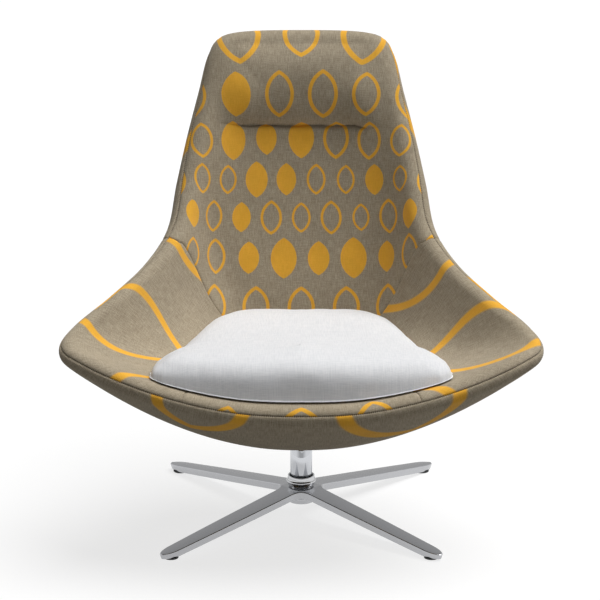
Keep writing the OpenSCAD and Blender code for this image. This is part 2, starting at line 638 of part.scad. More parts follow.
skin_0 = [for (m = [0:cushion_end]) [for (ring = [0:last_ring]) cushion_column(m, ring, 0)]];
skin_1 = [for (m = [0:cushion_end]) [for (ring = [0:last_ring]) cushion_column(m, ring, cover_t)]];

// Point numbers of a cushion surface; faces meet along the edge and at both rear ends
function pad_number(c, ring, side) = let (m = ring == 0 ? abs(c) : c + cushion_end,
    top = ring == last_ring || abs(c) == cushion_end ? 0 : side)
    (m * (last_ring + 1) + ring) * 2 + top + (ring == 0 ? (2 * cushion_end + 1) * (last_ring + 1) * 2 : 0);
pad_count = (3 * cushion_end + 2) * (last_ring + 1) * 2;

function pad_points(skin) = [for (c = [-cushion_end:2 * cushion_end + 1]) for (ring = [0:last_ring])
    for (side = [0, 1]) let (m = c > cushion_end ? min(c - cushion_end - 1, cushion_end) : abs(c),
        p = skin[m][ring][side]) c < 0 ? mirrored(p) : p];
function pad_face(side, shift) = [for (c = [-cushion_end:cushion_end - 1]) for (ring = [0:last_ring - 1])
    let (p = [pad_number(c, ring, side), pad_number(c + 1, ring, side), pad_number(c + 1, ring + 1, side),
        pad_number(c, ring + 1, side)] + [shift, shift, shift, shift])
    each [for (f = patch(p, c < 0)) if (f[0] != f[1] && f[1] != f[2] && f[0] != f[2]) f]];
function flipped(faces) = [for (f = faces) [f[2], f[1], f[0]]];
// The band that joins the edges of two nested cushion surfaces
edge_path = concat([for (c = [-cushion_end:cushion_end]) [c, last_ring]],
    [for (ring = [last_ring - 1:-1:1]) [cushion_end, ring]],
    [[cushion_end, 0]],
    [for (ring = [1:last_ring - 1]) [-cushion_end, ring]]);
function pad_band() = let (count = len(edge_path)) [for (k = [0:count - 1])
    let (p = edge_path[k], q = edge_path[(k + 1) % count],
        a = pad_number(p[0], p[1], 0), b = pad_number(q[0], q[1], 0))
    each patch([a, b, b + pad_count, a + pad_count], false)];

module cushion_core() color("#e6e4de")
    polyhedron(pad_points(skin_1), concat(pad_face(1, 0), flipped(pad_face(0, 0))), convexity = 4);
module cushion_top_cover() color("#d6d5d0") polyhedron(concat(pad_points(skin_0), pad_points(skin_1)),
    concat(pad_face(1, 0), flipped(pad_face(1, pad_count)), pad_band()), convexity = 4);
module cushion_base_cover() color("#cfcec9") polyhedron(concat(pad_points(skin_0), pad_points(skin_1)),
    concat(pad_face(0, pad_count), flipped(pad_face(0, 0)), flipped(pad_band())), convexity = 4);

star_base();
glide_front_left();
glide_front_right();
glide_rear_left();
glide_rear_right();
glide_screws();
spindle();
hub_washer();
hub_nut();
hub_cap();
base_collar();
thrust_washer();
retaining_washer();
retaining_screw();
column_tube();
lower_bush();
upper_bush();
top_plate();
plate_bolts();
t_nuts();
seat_board();
shell_moulding();
seat_foam();
front_lip_foam();
arm_foam_left();
arm_foam_right();
back_foam();
headrest_foam();
rim_roll();
outer_foam();
outer_cover();
seat_deck_panel();
front_lip_panel();
arm_panel_left();
arm_panel_right();
back_panel();
headrest_panel();
cushion_core();
cushion_top_cover();
cushion_base_cover();
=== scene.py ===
"""Pedestal swivel armchair: printed wool shell, loose cushion, chrome column, polished star base.

Metres. The front faces -Y, Z is up, and the origin is on the floor on the swivel axis.
"""
import math

import bmesh
import bpy
import numpy as np
from bpy.props import FloatProperty, FloatVectorProperty, PointerProperty
from bpy.types import Operator, Panel, PropertyGroup
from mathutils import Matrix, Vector


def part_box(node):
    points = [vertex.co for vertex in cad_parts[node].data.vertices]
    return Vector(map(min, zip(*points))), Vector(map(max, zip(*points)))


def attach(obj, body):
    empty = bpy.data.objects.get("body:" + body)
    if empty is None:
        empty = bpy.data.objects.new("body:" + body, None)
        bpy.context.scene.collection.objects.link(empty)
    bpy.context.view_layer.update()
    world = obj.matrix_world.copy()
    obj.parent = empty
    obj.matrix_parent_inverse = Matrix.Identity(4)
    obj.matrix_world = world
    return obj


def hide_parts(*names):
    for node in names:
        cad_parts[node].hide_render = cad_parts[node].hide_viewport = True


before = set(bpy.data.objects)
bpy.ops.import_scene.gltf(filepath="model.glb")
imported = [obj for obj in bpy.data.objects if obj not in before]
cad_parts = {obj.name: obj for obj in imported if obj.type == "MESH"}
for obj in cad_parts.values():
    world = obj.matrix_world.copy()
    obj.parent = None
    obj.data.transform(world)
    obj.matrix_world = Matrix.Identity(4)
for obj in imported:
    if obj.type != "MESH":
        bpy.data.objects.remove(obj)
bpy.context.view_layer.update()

bl_info = {
    "name": "Pedestal swivel armchair",
    "version": (1, 0, 0),
    "blender": (4, 5, 0),
    "location": "View3D > Sidebar > Armchair",
    "description": "Builds an upholstered swivel armchair around its packed frame",
    "category": "Object",
}

COVER_LOW, COVER_HIGH = (np.array(corner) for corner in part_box("outer_cover"))
COLUMN_LOW, COLUMN_HIGH = (np.array(corner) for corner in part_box("column_tube"))
COLLAR_LOW, COLLAR_HIGH = (np.array(corner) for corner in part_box("base_collar"))
GLIDE_TOP = float(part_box("glide_front_right")[1][2])
MM = 0.001

# The shell is a loop of sections, from the middle of the seat or back out to the rim and round it.
# Key 0 is the front, 15 the top of the headrest; the left half mirrors the right. Shares are of
# half the width, of the seat's reach and of the shell's height. Each key has the rim's centre, the
# places where the inner and the outer profile turn towards it, the spine's two starts as y and z
# pairs, and the rim's radius and the profiles' two last handles as shares of the sizes for them.
RIM_SHARES = [
    [0, -1, 0.21], [0.255, -0.985, 0.215], [0.50, -0.925, 0.235], [0.725, -0.825, 0.265],
    [0.915, -0.70, 0.30], [1, -0.575, 0.32], [0.955, -0.395, 0.345], [0.81, -0.165, 0.39],
    [0.66, 0.105, 0.445], [0.555, 0.345, 0.52], [0.51, 0.53, 0.635], [0.46, 0.675, 0.755],
    [0.405, 0.80, 0.87], [0.36, 0.905, 0.965], [0.295, 0.95, 0.995], [0, 0.97, 1]]
INNER_SHARES = [
    [0, -0.77, 0.22], [0.185, -0.765, 0.22], [0.35, -0.74, 0.22], [0.495, -0.66, 0.225],
    [0.57, -0.555, 0.225], [0.60, -0.435, 0.22], [0.60, -0.29, 0.215], [0.57, -0.09, 0.21],
    [0.51, 0.13, 0.205], [0.43, 0.34, 0.20], [0.385, 0.485, 0.39], [0.325, 0.645, 0.61],
    [0.30, 0.77, 0.79], [0.24, 0.80, 0.85], [0.15, 0.82, 0.905], [0, 0.835, 0.93]]
OUTER_SHARES = [
    [0, -0.64, 0.025], [0.205, -0.625, 0.025], [0.365, -0.575, 0.028], [0.485, -0.49, 0.034],
    [0.545, -0.395, 0.038], [0.555, -0.29, 0.036], [0.53, -0.13, 0.024], [0.50, 0.04, 0.015],
    [0.475, 0.225, 0.03], [0.445, 0.415, 0.095], [0.41, 0.64, 0.325], [0.335, 0.80, 0.545],
    [0.28, 0.915, 0.735], [0.215, 0.975, 0.81], [0.13, 1.01, 0.88], [0, 1.02, 0.90]]
SPINE_SHARES = [
    [-0.62, 0.22, -0.30, 0], [-0.60, 0.215, -0.285, 0], [-0.565, 0.215, -0.255, 0],
    [-0.52, 0.215, -0.215, 0], [-0.46, 0.215, -0.165, 0], [-0.375, 0.21, -0.10, 0],
    [-0.24, 0.21, -0.015, 0], [-0.08, 0.205, 0.09, 0], [0.13, 0.195, 0.235, 0.02],
    [0.34, 0.20, 0.41, 0.085], [0.485, 0.375, 0.64, 0.32], [0.645, 0.60, 0.80, 0.54],
    [0.77, 0.785, 0.915, 0.73], [0.795, 0.825, 0.965, 0.79], [0.81, 0.85, 0.985, 0.83],
    [0.82, 0.87, 1.0, 0.865]]
ROLL_SHARES = [
    [1.1, 0.60, 0.80], [1.1, 0.60, 0.80], [1.05, 0.60, 0.80], [1, 0.55, 0.80], [1, 0.45, 0.70],
    [1, 0.40, 0.60], [1, 0.60, 0.80], [1.05, 0.80, 1.10], [1.1, 0.90, 1.20], [1.2, 0.90, 1.20],
    [1.3, 0.75, 0.90], [1.4, 0.70, 0.80], [1.5, 0.60, 0.70], [1.55, 0.40, 0.50],
    [1.55, 0.40, 0.50], [1.55, 0.50, 0.60]]
# The first handle's share of the way to the turn, and the rim's radius at the front and the top
START_SHARE = 0.95
FRONT_RIM_SHARE, TOP_RIM_SHARE = 1.1, 1.55
# Keys of the seams beside the front lip and the back, of the headrest's fold, and of its top
LIP_KEY, ARM_KEY, FOLD_KEY, TOP_KEY = 2.0, 8.8, 12.0, 15.0
BACK_SEAMS = [ARM_KEY, 2 * TOP_KEY - ARM_KEY]

# Upwards as the photograph's camera sees it; the headrest's fold is level along this direction
LEVEL = np.array([0, 0.28, 0.96])
# Keys by which the fold's line and the arm's seam move towards the front on their way to the rim,
# and the keys or shares over which each shift comes in and goes out, as a start and a length
FOLD_SHIFT, ARM_SHIFT = 0.73, 0.10
FOLD_SHIFT_IN, FOLD_SHIFT_OUT, FOLD_SHIFT_POWER = (9.6, 2.4), (14.6, -2.6), 1.5
ARM_SHIFT_IN, ARM_SHIFT_OUT, ARM_SHIFT_RIM = (7.4, 1.4), (10.2, -1.4), (0.7, 0.6)
# The headrest's corners are rounded over this many keys to either side, from a key on and away
# from the rim; its padding rises along this direction, forwards and up
ROUND_KEYS, ROUND_IN, ROUND_OUT = 0.8, (12.3, 1.4), (0.7, 0.28)
PADDING_DIRECTION = np.array([0, -0.90, 0.43])
# The padding's height is the sine of a power of the way up, and it fades to the sides from a
# distance off the middle on. The fold is drawn in, with a roll some way below it, and reaches a
# little further out
SWELL_POWER, SWELL_SIDE, FOLD_END = 0.70, (0.10, 0.08), (0.115, 0.03)
CREASE_DEPTH, CREASE_WIDTH = 6 * MM, 3 * MM
ROLL_HEIGHT, ROLL_DROP, ROLL_WIDTH = 2.5 * MM, 13 * MM, 9 * MM
# The fold's line waves, by heights and radians to the metre, and drops at its right end
FOLD_WAVES = ((0.7 * MM, 70), (0.5 * MM, 190))
FOLD_END_DROP, FOLD_END_AT = 6 * MM, (0.095, 0.045)

# The cushion's edge at each key, as a share of the seat profile's parameter, and its crown's
# height along the middle and at the sides, as shares of the cushion's height
CUSHION_KEYS = [0, 0.8, 1.6, 2.1, 2.5, 2.75, 3.0, 3.4, 4, 5, 6, 7, 7.8, 8.4, 8.8, 9]
CUSHION_EDGE_SHARES = [0.965, 0.975, 0.98, 0.98, 0.975, 0.92, 0.76, 0.61, 0.50, 0.415, 0.395,
                       0.42, 0.45, 0.46, 0.40, 0.35]
CUSHION_TOP_KEYS = [0, 3, 6, 9]
CUSHION_MIDDLE_SHARES = [1.14, 1.06, 0.94, 0.69]
CUSHION_SIDE_SHARES = [1.14, 0.90, 0.90, 0.69]
# Roundness of its sides: boxy across the front, where they lean in a little towards the top, and
# rounder behind the corners at these keys
FRONT_ROUND_SHARE, SIDE_ROUND_SHARE, FRONT_LEAN_SHARE = 0.18, 0.25, 0.14
CORNER_KEYS = (2.0, 3.4)
# Its rear end closes over the last of its keys, and its rear leans forwards from a key on
REAR_ROUND_KEYS, REAR_LEAN, REAR_LEAN_KEY = 0.62, 0.5, 6.5
# Metres from its middle to its edge, about; a blank is made smaller by a share of this
CUSHION_HALF_SPAN = 0.22

# The star base from above and from the side, in metres: a leg's reach from the swivel axis, the
# length of its round end, half its width at the root and at the tip, its belly, the fillet between
# two legs, the heights of the hub, and the chamfer and draft of its sides
LEG_REACH, LEG_START, TIP_LENGTH = 382 * MM, 16 * MM, 37 * MM
ROOT_WIDTH, TIP_WIDTH, LEG_BELLY, LEG_FILLET = 22 * MM, 15.5 * MM, 0.9 * MM, 25 * MM
HUB_TOP, HUB_LOW = 60 * MM, 44.5 * MM
TIP_TOP, TIP_LOW = GLIDE_TOP + 10 * MM, GLIDE_TOP
CHAMFER, DRAFT = 1.3 * MM, 2.2 * MM
# The crown of a leg's top, and the distance from the swivel axis at which it is reached
LEG_CROWN, CROWN_START = 0.5 * MM, 60 * MM
# A leg's section as rings: each one's inset, its share of the height, and its drop below that
LEG_RINGS = [
    (CHAMFER, 1.0, 0), (CHAMFER * 0.75, 1.0, 0.12 * MM), (CHAMFER * 0.25, 1.0, CHAMFER * 0.7),
    (0, 1.0, CHAMFER), (DRAFT * 0.1, 1.0, CHAMFER * 1.8), (DRAFT, 0.12, 0),
    (DRAFT + 0.3 * MM, 0.03, 0), (DRAFT + 1.2 * MM, 0.0, 0), (DRAFT + 3.2 * MM, 0.0, 0),
    (DRAFT + 3.8 * MM, 0.25, 0)]

# Turned profiles as radius and height in millimetres: the stub of the hub under the legs; the
# collar's outside and inside, from its underside up, and its lip, from its top down; and the wall
# of the column's tube
STUB_PROFILE = [
    (26.0, 50), (26.0, 28.2), (25.6, 27.3), (24.8, 27.0), (20.2, 27.0), (19.4, 27.5), (19.2, 29.5),
    (19.2, 50)]
COLLAR_OUTSIDE = [
    (14.2, 0), (25.0, 0), (26.0, 0.3), (26.3, 1.5), (26.9, 3.0), (28.0, 5.0), (29.2, 6.6),
    (29.8, 7.6), (30.0, 8.8), (29.9, 9.7), (29.4, 10.5), (28.4, 11.0), (27.4, 11.6), (27.0, 12.6),
    (26.9, 14.0)]
COLLAR_LIP = [
    (26.8, -1.4), (26.5, -0.6), (25.9, -0.1), (25.2, 0), (24.2, -0.1), (23.6, -0.6), (23.5, -1.6)]
COLLAR_INSIDE = [(23.5, 6), (14.2, 6)]
TUBE_WALL = 3.5


# Properties

class ChairSizes(PropertyGroup):
    """Sizes of the chair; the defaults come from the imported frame."""
    half_width: FloatProperty(name="Half width", description="From the middle to an arm's outer edge",
                              default=float(COVER_HIGH[0]), unit="LENGTH")
    seat_reach: FloatProperty(name="Seat reach", description="From the swivel axis to the front edge",
                              default=float(-COVER_LOW[1]), unit="LENGTH")
    shell_base: FloatProperty(name="Shell base", description="Height of the shell's underside",
                              default=float(COVER_LOW[2]), unit="LENGTH")
    shell_top: FloatProperty(name="Shell top", description="Height of the headrest's top",
                             default=float(COVER_HIGH[2]), unit="LENGTH")
    rim_radius: FloatProperty(name="Rim radius", description="Radius of the rolled rim at the arms",
                              default=20 * MM, unit="LENGTH")
    turn_length: FloatProperty(name="Turn length", description="Length over which panels turn into the rim",
                               default=100 * MM, unit="LENGTH")
    seam_depth: FloatProperty(name="Seam depth", description="How far a seam draws the cloth in",
                              default=2.4 * MM, unit="LENGTH")
    seam_width: FloatProperty(name="Seam width", description="Distance over which the groove fades",
                              default=1.8 * MM, unit="LENGTH")
    swell_height: FloatProperty(name="Headrest swell", description="Height of the padding above the fold",
                                default=31 * MM, unit="LENGTH")
    cloth_thickness: FloatProperty(name="Cloth thickness", description="Thickness of the covers",
                                   default=2 * MM, unit="LENGTH")
    cushion_height: FloatProperty(name="Cushion height", description="Crown above the middle of the seat",
                                  default=76.5 * MM, unit="LENGTH")
    cushion_gap: FloatProperty(name="Cushion gap", description="Between the cushion and the seat",
                               default=2.5 * MM, unit="LENGTH")


class ChairColours(PropertyGroup):
    """Colours of the chair, as sRGB values."""
    wool_light: FloatVectorProperty(name="Wool, light thread", subtype="COLOR_GAMMA", size=3,
                                    description="Lighter thread of the shell cloth",
                                    default=(0.73, 0.68, 0.59))
    wool_dark: FloatVectorProperty(name="Wool, dark thread", subtype="COLOR_GAMMA", size=3,
                                   description="Darker thread of the shell cloth",
                                   default=(0.575, 0.525, 0.445))
    print_yellow: FloatVectorProperty(name="Print", subtype="COLOR_GAMMA", size=3,
                                      description="Golden yellow of the print",
                                      default=(0.98, 0.74, 0.255))
    cushion_cloth: FloatVectorProperty(name="Cushion cloth", subtype="COLOR_GAMMA", size=3,
                                       description="Pale grey of the cushion",
                                       default=(0.93, 0.93, 0.935))


# Small tools

def linear(colour):
    """sRGB values, or a hex string, to linear values with an alpha of 1."""
    if isinstance(colour, str):
        colour = [int(colour[i:i + 2], 16) / 255 for i in (1, 3, 5)]
    values = np.asarray(colour[:3], float)
    low = values / 12.92
    high = ((values + 0.055) / 1.055) ** 2.4
    return (*np.where(values <= 0.04045, low, high).tolist(), 1.0)


def wire(tree, node, inputs):
    """Link a node's inputs to sockets, and set those whose value isn't a socket. The inputs come
    by name, or as a list from the first on: a Map Range node's are the value, its range, and the
    range that it is mapped to."""
    for name, value in inputs.items() if isinstance(inputs, dict) else enumerate(inputs):
        if isinstance(value, bpy.types.NodeSocket):
            tree.links.new(value, node.inputs[name])
        else:
            node.inputs[name].default_value = value


def add(tree, kind, inputs=None, out=0, **settings):
    """Add a shader node, set its settings and inputs, and return one of its outputs."""
    made = tree.nodes.new("ShaderNode" + kind)
    for name, value in settings.items():
        setattr(made, name, value)
    wire(tree, made, inputs or {})
    return made.outputs[out]


def new_material(name):
    """An empty node material with a Principled surface; returns the material, tree and shader."""
    material = bpy.data.materials.new(name)
    material.use_nodes = True
    tree = material.node_tree
    tree.nodes.clear()
    shader = tree.nodes.new("ShaderNodeBsdfPrincipled")
    output = tree.nodes.new("ShaderNodeOutputMaterial")
    tree.links.new(shader.outputs[0], output.inputs["Surface"])
    return material, tree, shader


def read(piece, what="co"):
    """A piece's points or normals as an array."""
    values = np.empty(len(piece.data.vertices) * 3)
    piece.data.vertices.foreach_get(what, values)
    return values.reshape(-1, 3)


def corners(mesh):
    """The number of the point at each corner of a mesh's faces."""
    numbers = np.empty(len(mesh.loops), int)
    mesh.loops.foreach_get("vertex_index", numbers)
    return numbers


def make_object(name, points, faces, material, body, replaced=(), seam_map=None):
    """Put points and faces into a mesh object, dress it and let it ride on its body. Points that no
    face uses are left out. A seam map holds each point's run along the rim and distance to it."""
    used, index = np.unique(np.concatenate([np.asarray(face) for face in faces]), return_inverse=True)
    sizes = [len(face) for face in faces]
    ends = np.cumsum(sizes)
    polygons = [index[end - size:end].tolist() for end, size in zip(ends, sizes)]
    mesh = bpy.data.meshes.new(name)
    mesh.from_pydata(np.asarray(points)[used].tolist(), [], polygons)
    mesh.update()
    mesh.polygons.foreach_set("use_smooth", np.ones(len(mesh.polygons), bool))
    if seam_map is not None:
        seam_values = seam_map[used][corners(mesh)]
        mesh.uv_layers.new(name="seam").uv.foreach_set("vector", seam_values.ravel())
    piece = bpy.data.objects.new(name, mesh)
    bpy.context.scene.collection.objects.link(piece)
    mesh.materials.append(material)
    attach(piece, body)
    if replaced:
        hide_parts(*replaced)
    return piece


def grid_faces(ids):
    """Quads between neighbouring rows and columns of a grid of point numbers; repeats are dropped."""
    quads = np.stack([ids[:-1, :-1], ids[1:, :-1], ids[1:, 1:], ids[:-1, 1:]], -1).reshape(-1, 4)
    faces = []
    for quad in quads.tolist():
        face = list(dict.fromkeys(quad))
        if len(face) > 2:
            faces.append(face)
    return faces


def unit(vectors):
    """Vectors divided by their lengths."""
    return vectors / np.maximum(np.linalg.norm(vectors, axis=-1, keepdims=True), 1e-12)


def smooth(values, start, length):
    """Smooth step from 0 at a start to 1 a length on; a negative length makes it fall."""
    part = np.clip((values - start) / length, 0, 1)
    return part * part * (3 - 2 * part)


# Shell surfaces

def fold_keys(key):
    """Keys counted from the front on either side, from 0 to 15, and the side's sign."""
    key = key % (2 * TOP_KEY)
    left = key > TOP_KEY
    return np.where(left, 2 * TOP_KEY - key, key), np.where(left, -1.0, 1.0)


class Shell:
    """The shell's sections at any key, from the tables of shares and the chair's sizes."""

    def __init__(self, sizes):
        radius = sizes.rim_radius
        half = sizes.half_width - radius
        reach = sizes.seat_reach - FRONT_RIM_SHARE * radius
        base = sizes.shell_base
        rise = sizes.shell_top - TOP_RIM_SHARE * radius - base
        scale = np.array([half, reach, rise])
        origin = np.array([0, 0, base])
        self.rim = np.array(RIM_SHARES) * scale + origin
        self.inner = np.array(INNER_SHARES) * scale + origin
        self.outer = np.array(OUTER_SHARES) * scale + origin
        spine = np.array(SPINE_SHARES)
        zero = np.zeros(len(spine))
        self.inner_start = np.column_stack([zero, spine[:, 0:2]]) * scale + origin
        self.outer_start = np.column_stack([zero, spine[:, 2:4]]) * scale + origin
        self.roll = np.array(ROLL_SHARES) * [radius, sizes.turn_length, sizes.turn_length]
        self.seat_height = base + INNER_SHARES[0][2] * rise
        self.swell_height = sizes.swell_height
        self.fold_level = float(self.inner_start[int(FOLD_KEY)] @ LEVEL)
        self.top_level = float(self.rim[int(TOP_KEY)] @ LEVEL)

    @staticmethod
    def along(table, keys, mirrored=True):
        """Catmull-Rom curve through a table's rows at keys; the far half of the loop mirrors x."""
        count = len(table) - 1
        keys = np.asarray(keys, float) % (2 * count)
        start = np.floor(keys).astype(int)
        part = (keys - start)[..., None]
        rows = []
        for shift in (-1, 0, 1, 2):
            place = (start + shift) % (2 * count)
            far = place > count
            row = table[np.where(far, 2 * count - place, place)].copy()
            if mirrored:
                row[..., 0] = np.where(far, -row[..., 0], row[..., 0])
            rows.append(row)
        a, b, c, d = rows
        return (2 * b + (c - a) * part + (2 * a - 5 * b + 4 * c - d) * part ** 2
                + (3 * b - a - 3 * c + d) * part ** 3) / 2

    @staticmethod
    def bend(key, v):
        """Keys moved towards the front, most at the rim, so that the line of key 12 runs level
        across the back as the fold does, and the arm's seam meets the rim in its place."""
        reach, side = fold_keys(key)
        near_fold = smooth(reach, *FOLD_SHIFT_IN) * smooth(reach, *FOLD_SHIFT_OUT)
        near_arm = smooth(reach, *ARM_SHIFT_IN) * smooth(reach, *ARM_SHIFT_OUT)
        moved = FOLD_SHIFT * np.clip(v, 0, 1) ** FOLD_SHIFT_POWER * near_fold
        moved = moved + ARM_SHIFT * smooth(v, *ARM_SHIFT_RIM) * near_arm
        return key - side * moved

    def section(self, key, v, inside):
        """Surface point: v from 0 to 1 runs along a cubic from the spine to the rim's tangent
        point, and from 1 to 2 round the rim's arc to the seam line."""
        rim = self.along(self.rim, key)
        step = 0.01
        direction = unit(self.along(self.rim, key + step) - self.along(self.rim, key - step))
        roll = self.along(self.roll, key, False)
        sides = []
        for turn_table, sign in ((self.inner, -1), (self.outer, 1)):
            turn = self.along(turn_table, key)
            lean = rim - turn
            lean = unit(lean - np.sum(lean * direction, -1, keepdims=True) * direction)
            sides.append((turn, lean, sign * np.cross(direction, lean)))
        middle = unit(sides[0][1] + sides[1][1])
        turn, lean, normal = sides[0 if inside else 1]
        start = self.along(self.inner_start if inside else self.outer_start, key)
        handle = roll[..., 1:2] if inside else roll[..., 2:3]
        end = rim + roll[..., :1] * normal
        t = np.clip(v, 0, 1)[..., None]
        flat = (start * (1 - t) ** 3 + 3 * (start + (turn - start) * START_SHARE) * t * (1 - t) ** 2
                + 3 * (end - handle * lean) * t * t * (1 - t) + end * t ** 3)
        angle = np.arccos(np.clip(np.sum(normal * middle, -1, keepdims=True), -1, 1))
        q = np.clip(v - 1, 0, 1)[..., None]
        arc = (np.sin((1 - q) * angle) * normal + np.sin(q * angle) * middle) / np.sin(angle)
        return np.where(v[..., None] <= 1, flat, rim + roll[..., :1] * arc)

    def point(self, key, v, inside=True):
        """Surface point at a key and v of one shape. Inside the headrest the surface is a bell
        average over nearby keys, which rounds its corners' creases, plus the padding."""
        key, v = np.broadcast_arrays(np.asarray(key, float), np.asarray(v, float))
        key = self.bend(key, v)
        if not inside:
            return self.section(key, v, False)
        reach, _ = fold_keys(key)
        ease = ROUND_KEYS * smooth(reach, *ROUND_IN) * (1 - smooth(v, *ROUND_OUT))
        weights = np.exp(-np.linspace(-1.6, 1.6, 7) ** 2)
        total = np.zeros(key.shape + (3,))
        for step, weight in zip(np.linspace(-1, 1, 7), weights / weights.sum()):
            total += weight * self.section(key + ease * step, v, True)
        return total + PADDING_DIRECTION * self.swell(total)[..., None]

    def swell(self, p):
        """The headrest's padding at points p of the plain surface: its height above the fold's
        level rises as the sine of a power and fades to the top and the sides. Along the fold the
        cloth is drawn in, with a soft roll below; the line waves a little and drops at one end."""
        x = p[..., 0]
        fold = self.fold_level
        for height, rate in FOLD_WAVES:
            fold = fold + height * np.sin(rate * x)
        fold = fold - FOLD_END_DROP * smooth(x, *FOLD_END_AT)
        above = p @ LEVEL - fold
        part = np.clip(above / (self.top_level - fold), 0, 1)
        across = np.abs(x)
        lift = self.swell_height * np.sin(np.pi * part ** SWELL_POWER) * (1 - smooth(across, *SWELL_SIDE))
        crease = CREASE_DEPTH * np.exp(-np.abs(above) / CREASE_WIDTH)
        roll = ROLL_HEIGHT * np.exp(-((above + ROLL_DROP) / ROLL_WIDTH) ** 2)
        return lift + (roll - crease) * (1 - smooth(across, *FOLD_END))

    def normal(self, key, v, inside=True):
        """Outward normal by differences of nearby points; straight ahead at the spine."""
        e = 1e-3
        up = np.minimum(v + e, 2.0)
        down = np.maximum(v - e, 0.0)
        ds = self.point(key + e, v, inside) - self.point(key - e, v, inside)
        dv = self.point(key, up, inside) - self.point(key, down, inside)
        n = unit(np.cross(dv, ds) if inside else np.cross(ds, dv))
        spine = np.asarray(v)[..., None] <= 0
        return unit(np.where(spine, n * [0, 1, 1], n))

    def sewn(self, key, v, seams, depth, width, inside=True):
        """Surface point drawn in at the rim seam and at seams along given keys, by a depth that
        fades as the exponential of the distance; also the distance to the rim seam."""
        p = self.point(key, v, inside)
        n = self.normal(key, v, inside)
        lines = [self.point(key, np.full_like(v, 2.0), inside)]
        lines += [self.point(np.full_like(key, seam), v, inside) for seam in seams]
        gaps = [np.linalg.norm(p - line, axis=-1) for line in lines]
        total = sum(depth * np.exp(-gap / width) for gap in gaps)
        return p - n * total[..., None], gaps[0]


def spread(*stops):
    """Numbers from stop to stop: pairs of a stop and the count of steps to it."""
    values = [stops[0]]
    for count, stop in zip(stops[1::2], stops[2::2]):
        values.extend(np.linspace(values[-1], stop, count + 1)[1:])
    return np.array(values)


def eased(start, stop, count):
    """Numbers from start to stop that lie closer to each other near both, as a cosine does."""
    return start + (stop - start) * (1 - np.cos(np.pi * np.linspace(0, 1, count + 1))) / 2


def to_rim(start, count):
    """Rows from a share of the profile to the rim, then closer and closer to the rim's seam."""
    return np.concatenate([np.linspace(start, 1, count), 1 + np.sin(np.linspace(0, np.pi / 2, 13)[1:])])


def cover(shell, sizes, name, keys, rows, seams, material, replaced,
          inside=True, folded=False, sink=0.0):
    """One cover: a grid over keys and rows. A folded one shares the points of its first row
    between its two halves. A cover of printed cloth counts as padded."""
    key, row = np.meshgrid(keys, rows, indexing="ij")
    points, gap = shell.sewn(key, row, seams, sizes.seam_depth, sizes.seam_width, inside)
    if sink:
        points = points - shell.normal(key, row, inside) * sink
    edge = shell.point(keys, np.full(len(keys), 2.0), inside)
    run = np.concatenate([[0], np.cumsum(np.linalg.norm(np.diff(edge, axis=0), axis=1))])
    seam_map = np.stack([np.broadcast_to(run[:, None], gap.shape), gap], -1).reshape(-1, 2)
    ids = np.arange(key.size).reshape(key.shape)
    if folded:
        ids[:, 0] = np.minimum(ids[:, 0], ids[::-1, 0])
    faces = grid_faces(ids if not inside else ids[::-1])
    piece = make_object(name, points.reshape(-1, 3), faces, material, "seat", replaced, seam_map)
    return piece


def lay_flat(piece, reference, offset=(0, 0)):
    """Unwrap a cover as cut cloth, then turn and scale it to real metres so that it lies as near
    as it can to reference, which gives each point's place on the flat cloth."""
    mesh = piece.data
    bpy.context.view_layer.objects.active = piece
    bpy.ops.object.select_all(action="DESELECT")
    piece.select_set(True)
    layer = mesh.uv_layers.new(name="cloth")
    mesh.uv_layers.active = layer
    bpy.ops.object.mode_set(mode="EDIT")
    bpy.ops.mesh.select_all(action="SELECT")
    bpy.ops.uv.unwrap(method="MINIMUM_STRETCH", margin=0.0)
    bpy.ops.object.mode_set(mode="OBJECT")
    layer = mesh.uv_layers["cloth"]
    flat = np.empty(len(mesh.loops) * 2)
    layer.uv.foreach_get("vector", flat)
    target = reference(read(piece))[corners(mesh)]
    target = target[:, 0] + 1j * target[:, 1]
    flat = flat[0::2] + 1j * flat[1::2]
    best = None
    for source in (flat, np.conj(flat)):
        centre, goal = source.mean(), target.mean()
        fit = np.vdot(source - centre, target - goal) / np.vdot(source - centre, source - centre)
        placed = (source - centre) * fit + goal
        error = np.abs(placed - target).sum()
        if best is None or error < best[0]:
            best = (error, placed)
    placed = best[1] + complex(*offset)
    layer.uv.foreach_set("vector", np.column_stack([placed.real, placed.imag]).ravel())


def thicken(piece, thickness):
    """Give a cover its cloth thickness on its inner side and keep the edges closed."""
    solid = piece.modifiers.new("cloth", "SOLIDIFY")
    solid.thickness = thickness
    solid.offset = -1
    solid.use_rim = True


# Materials

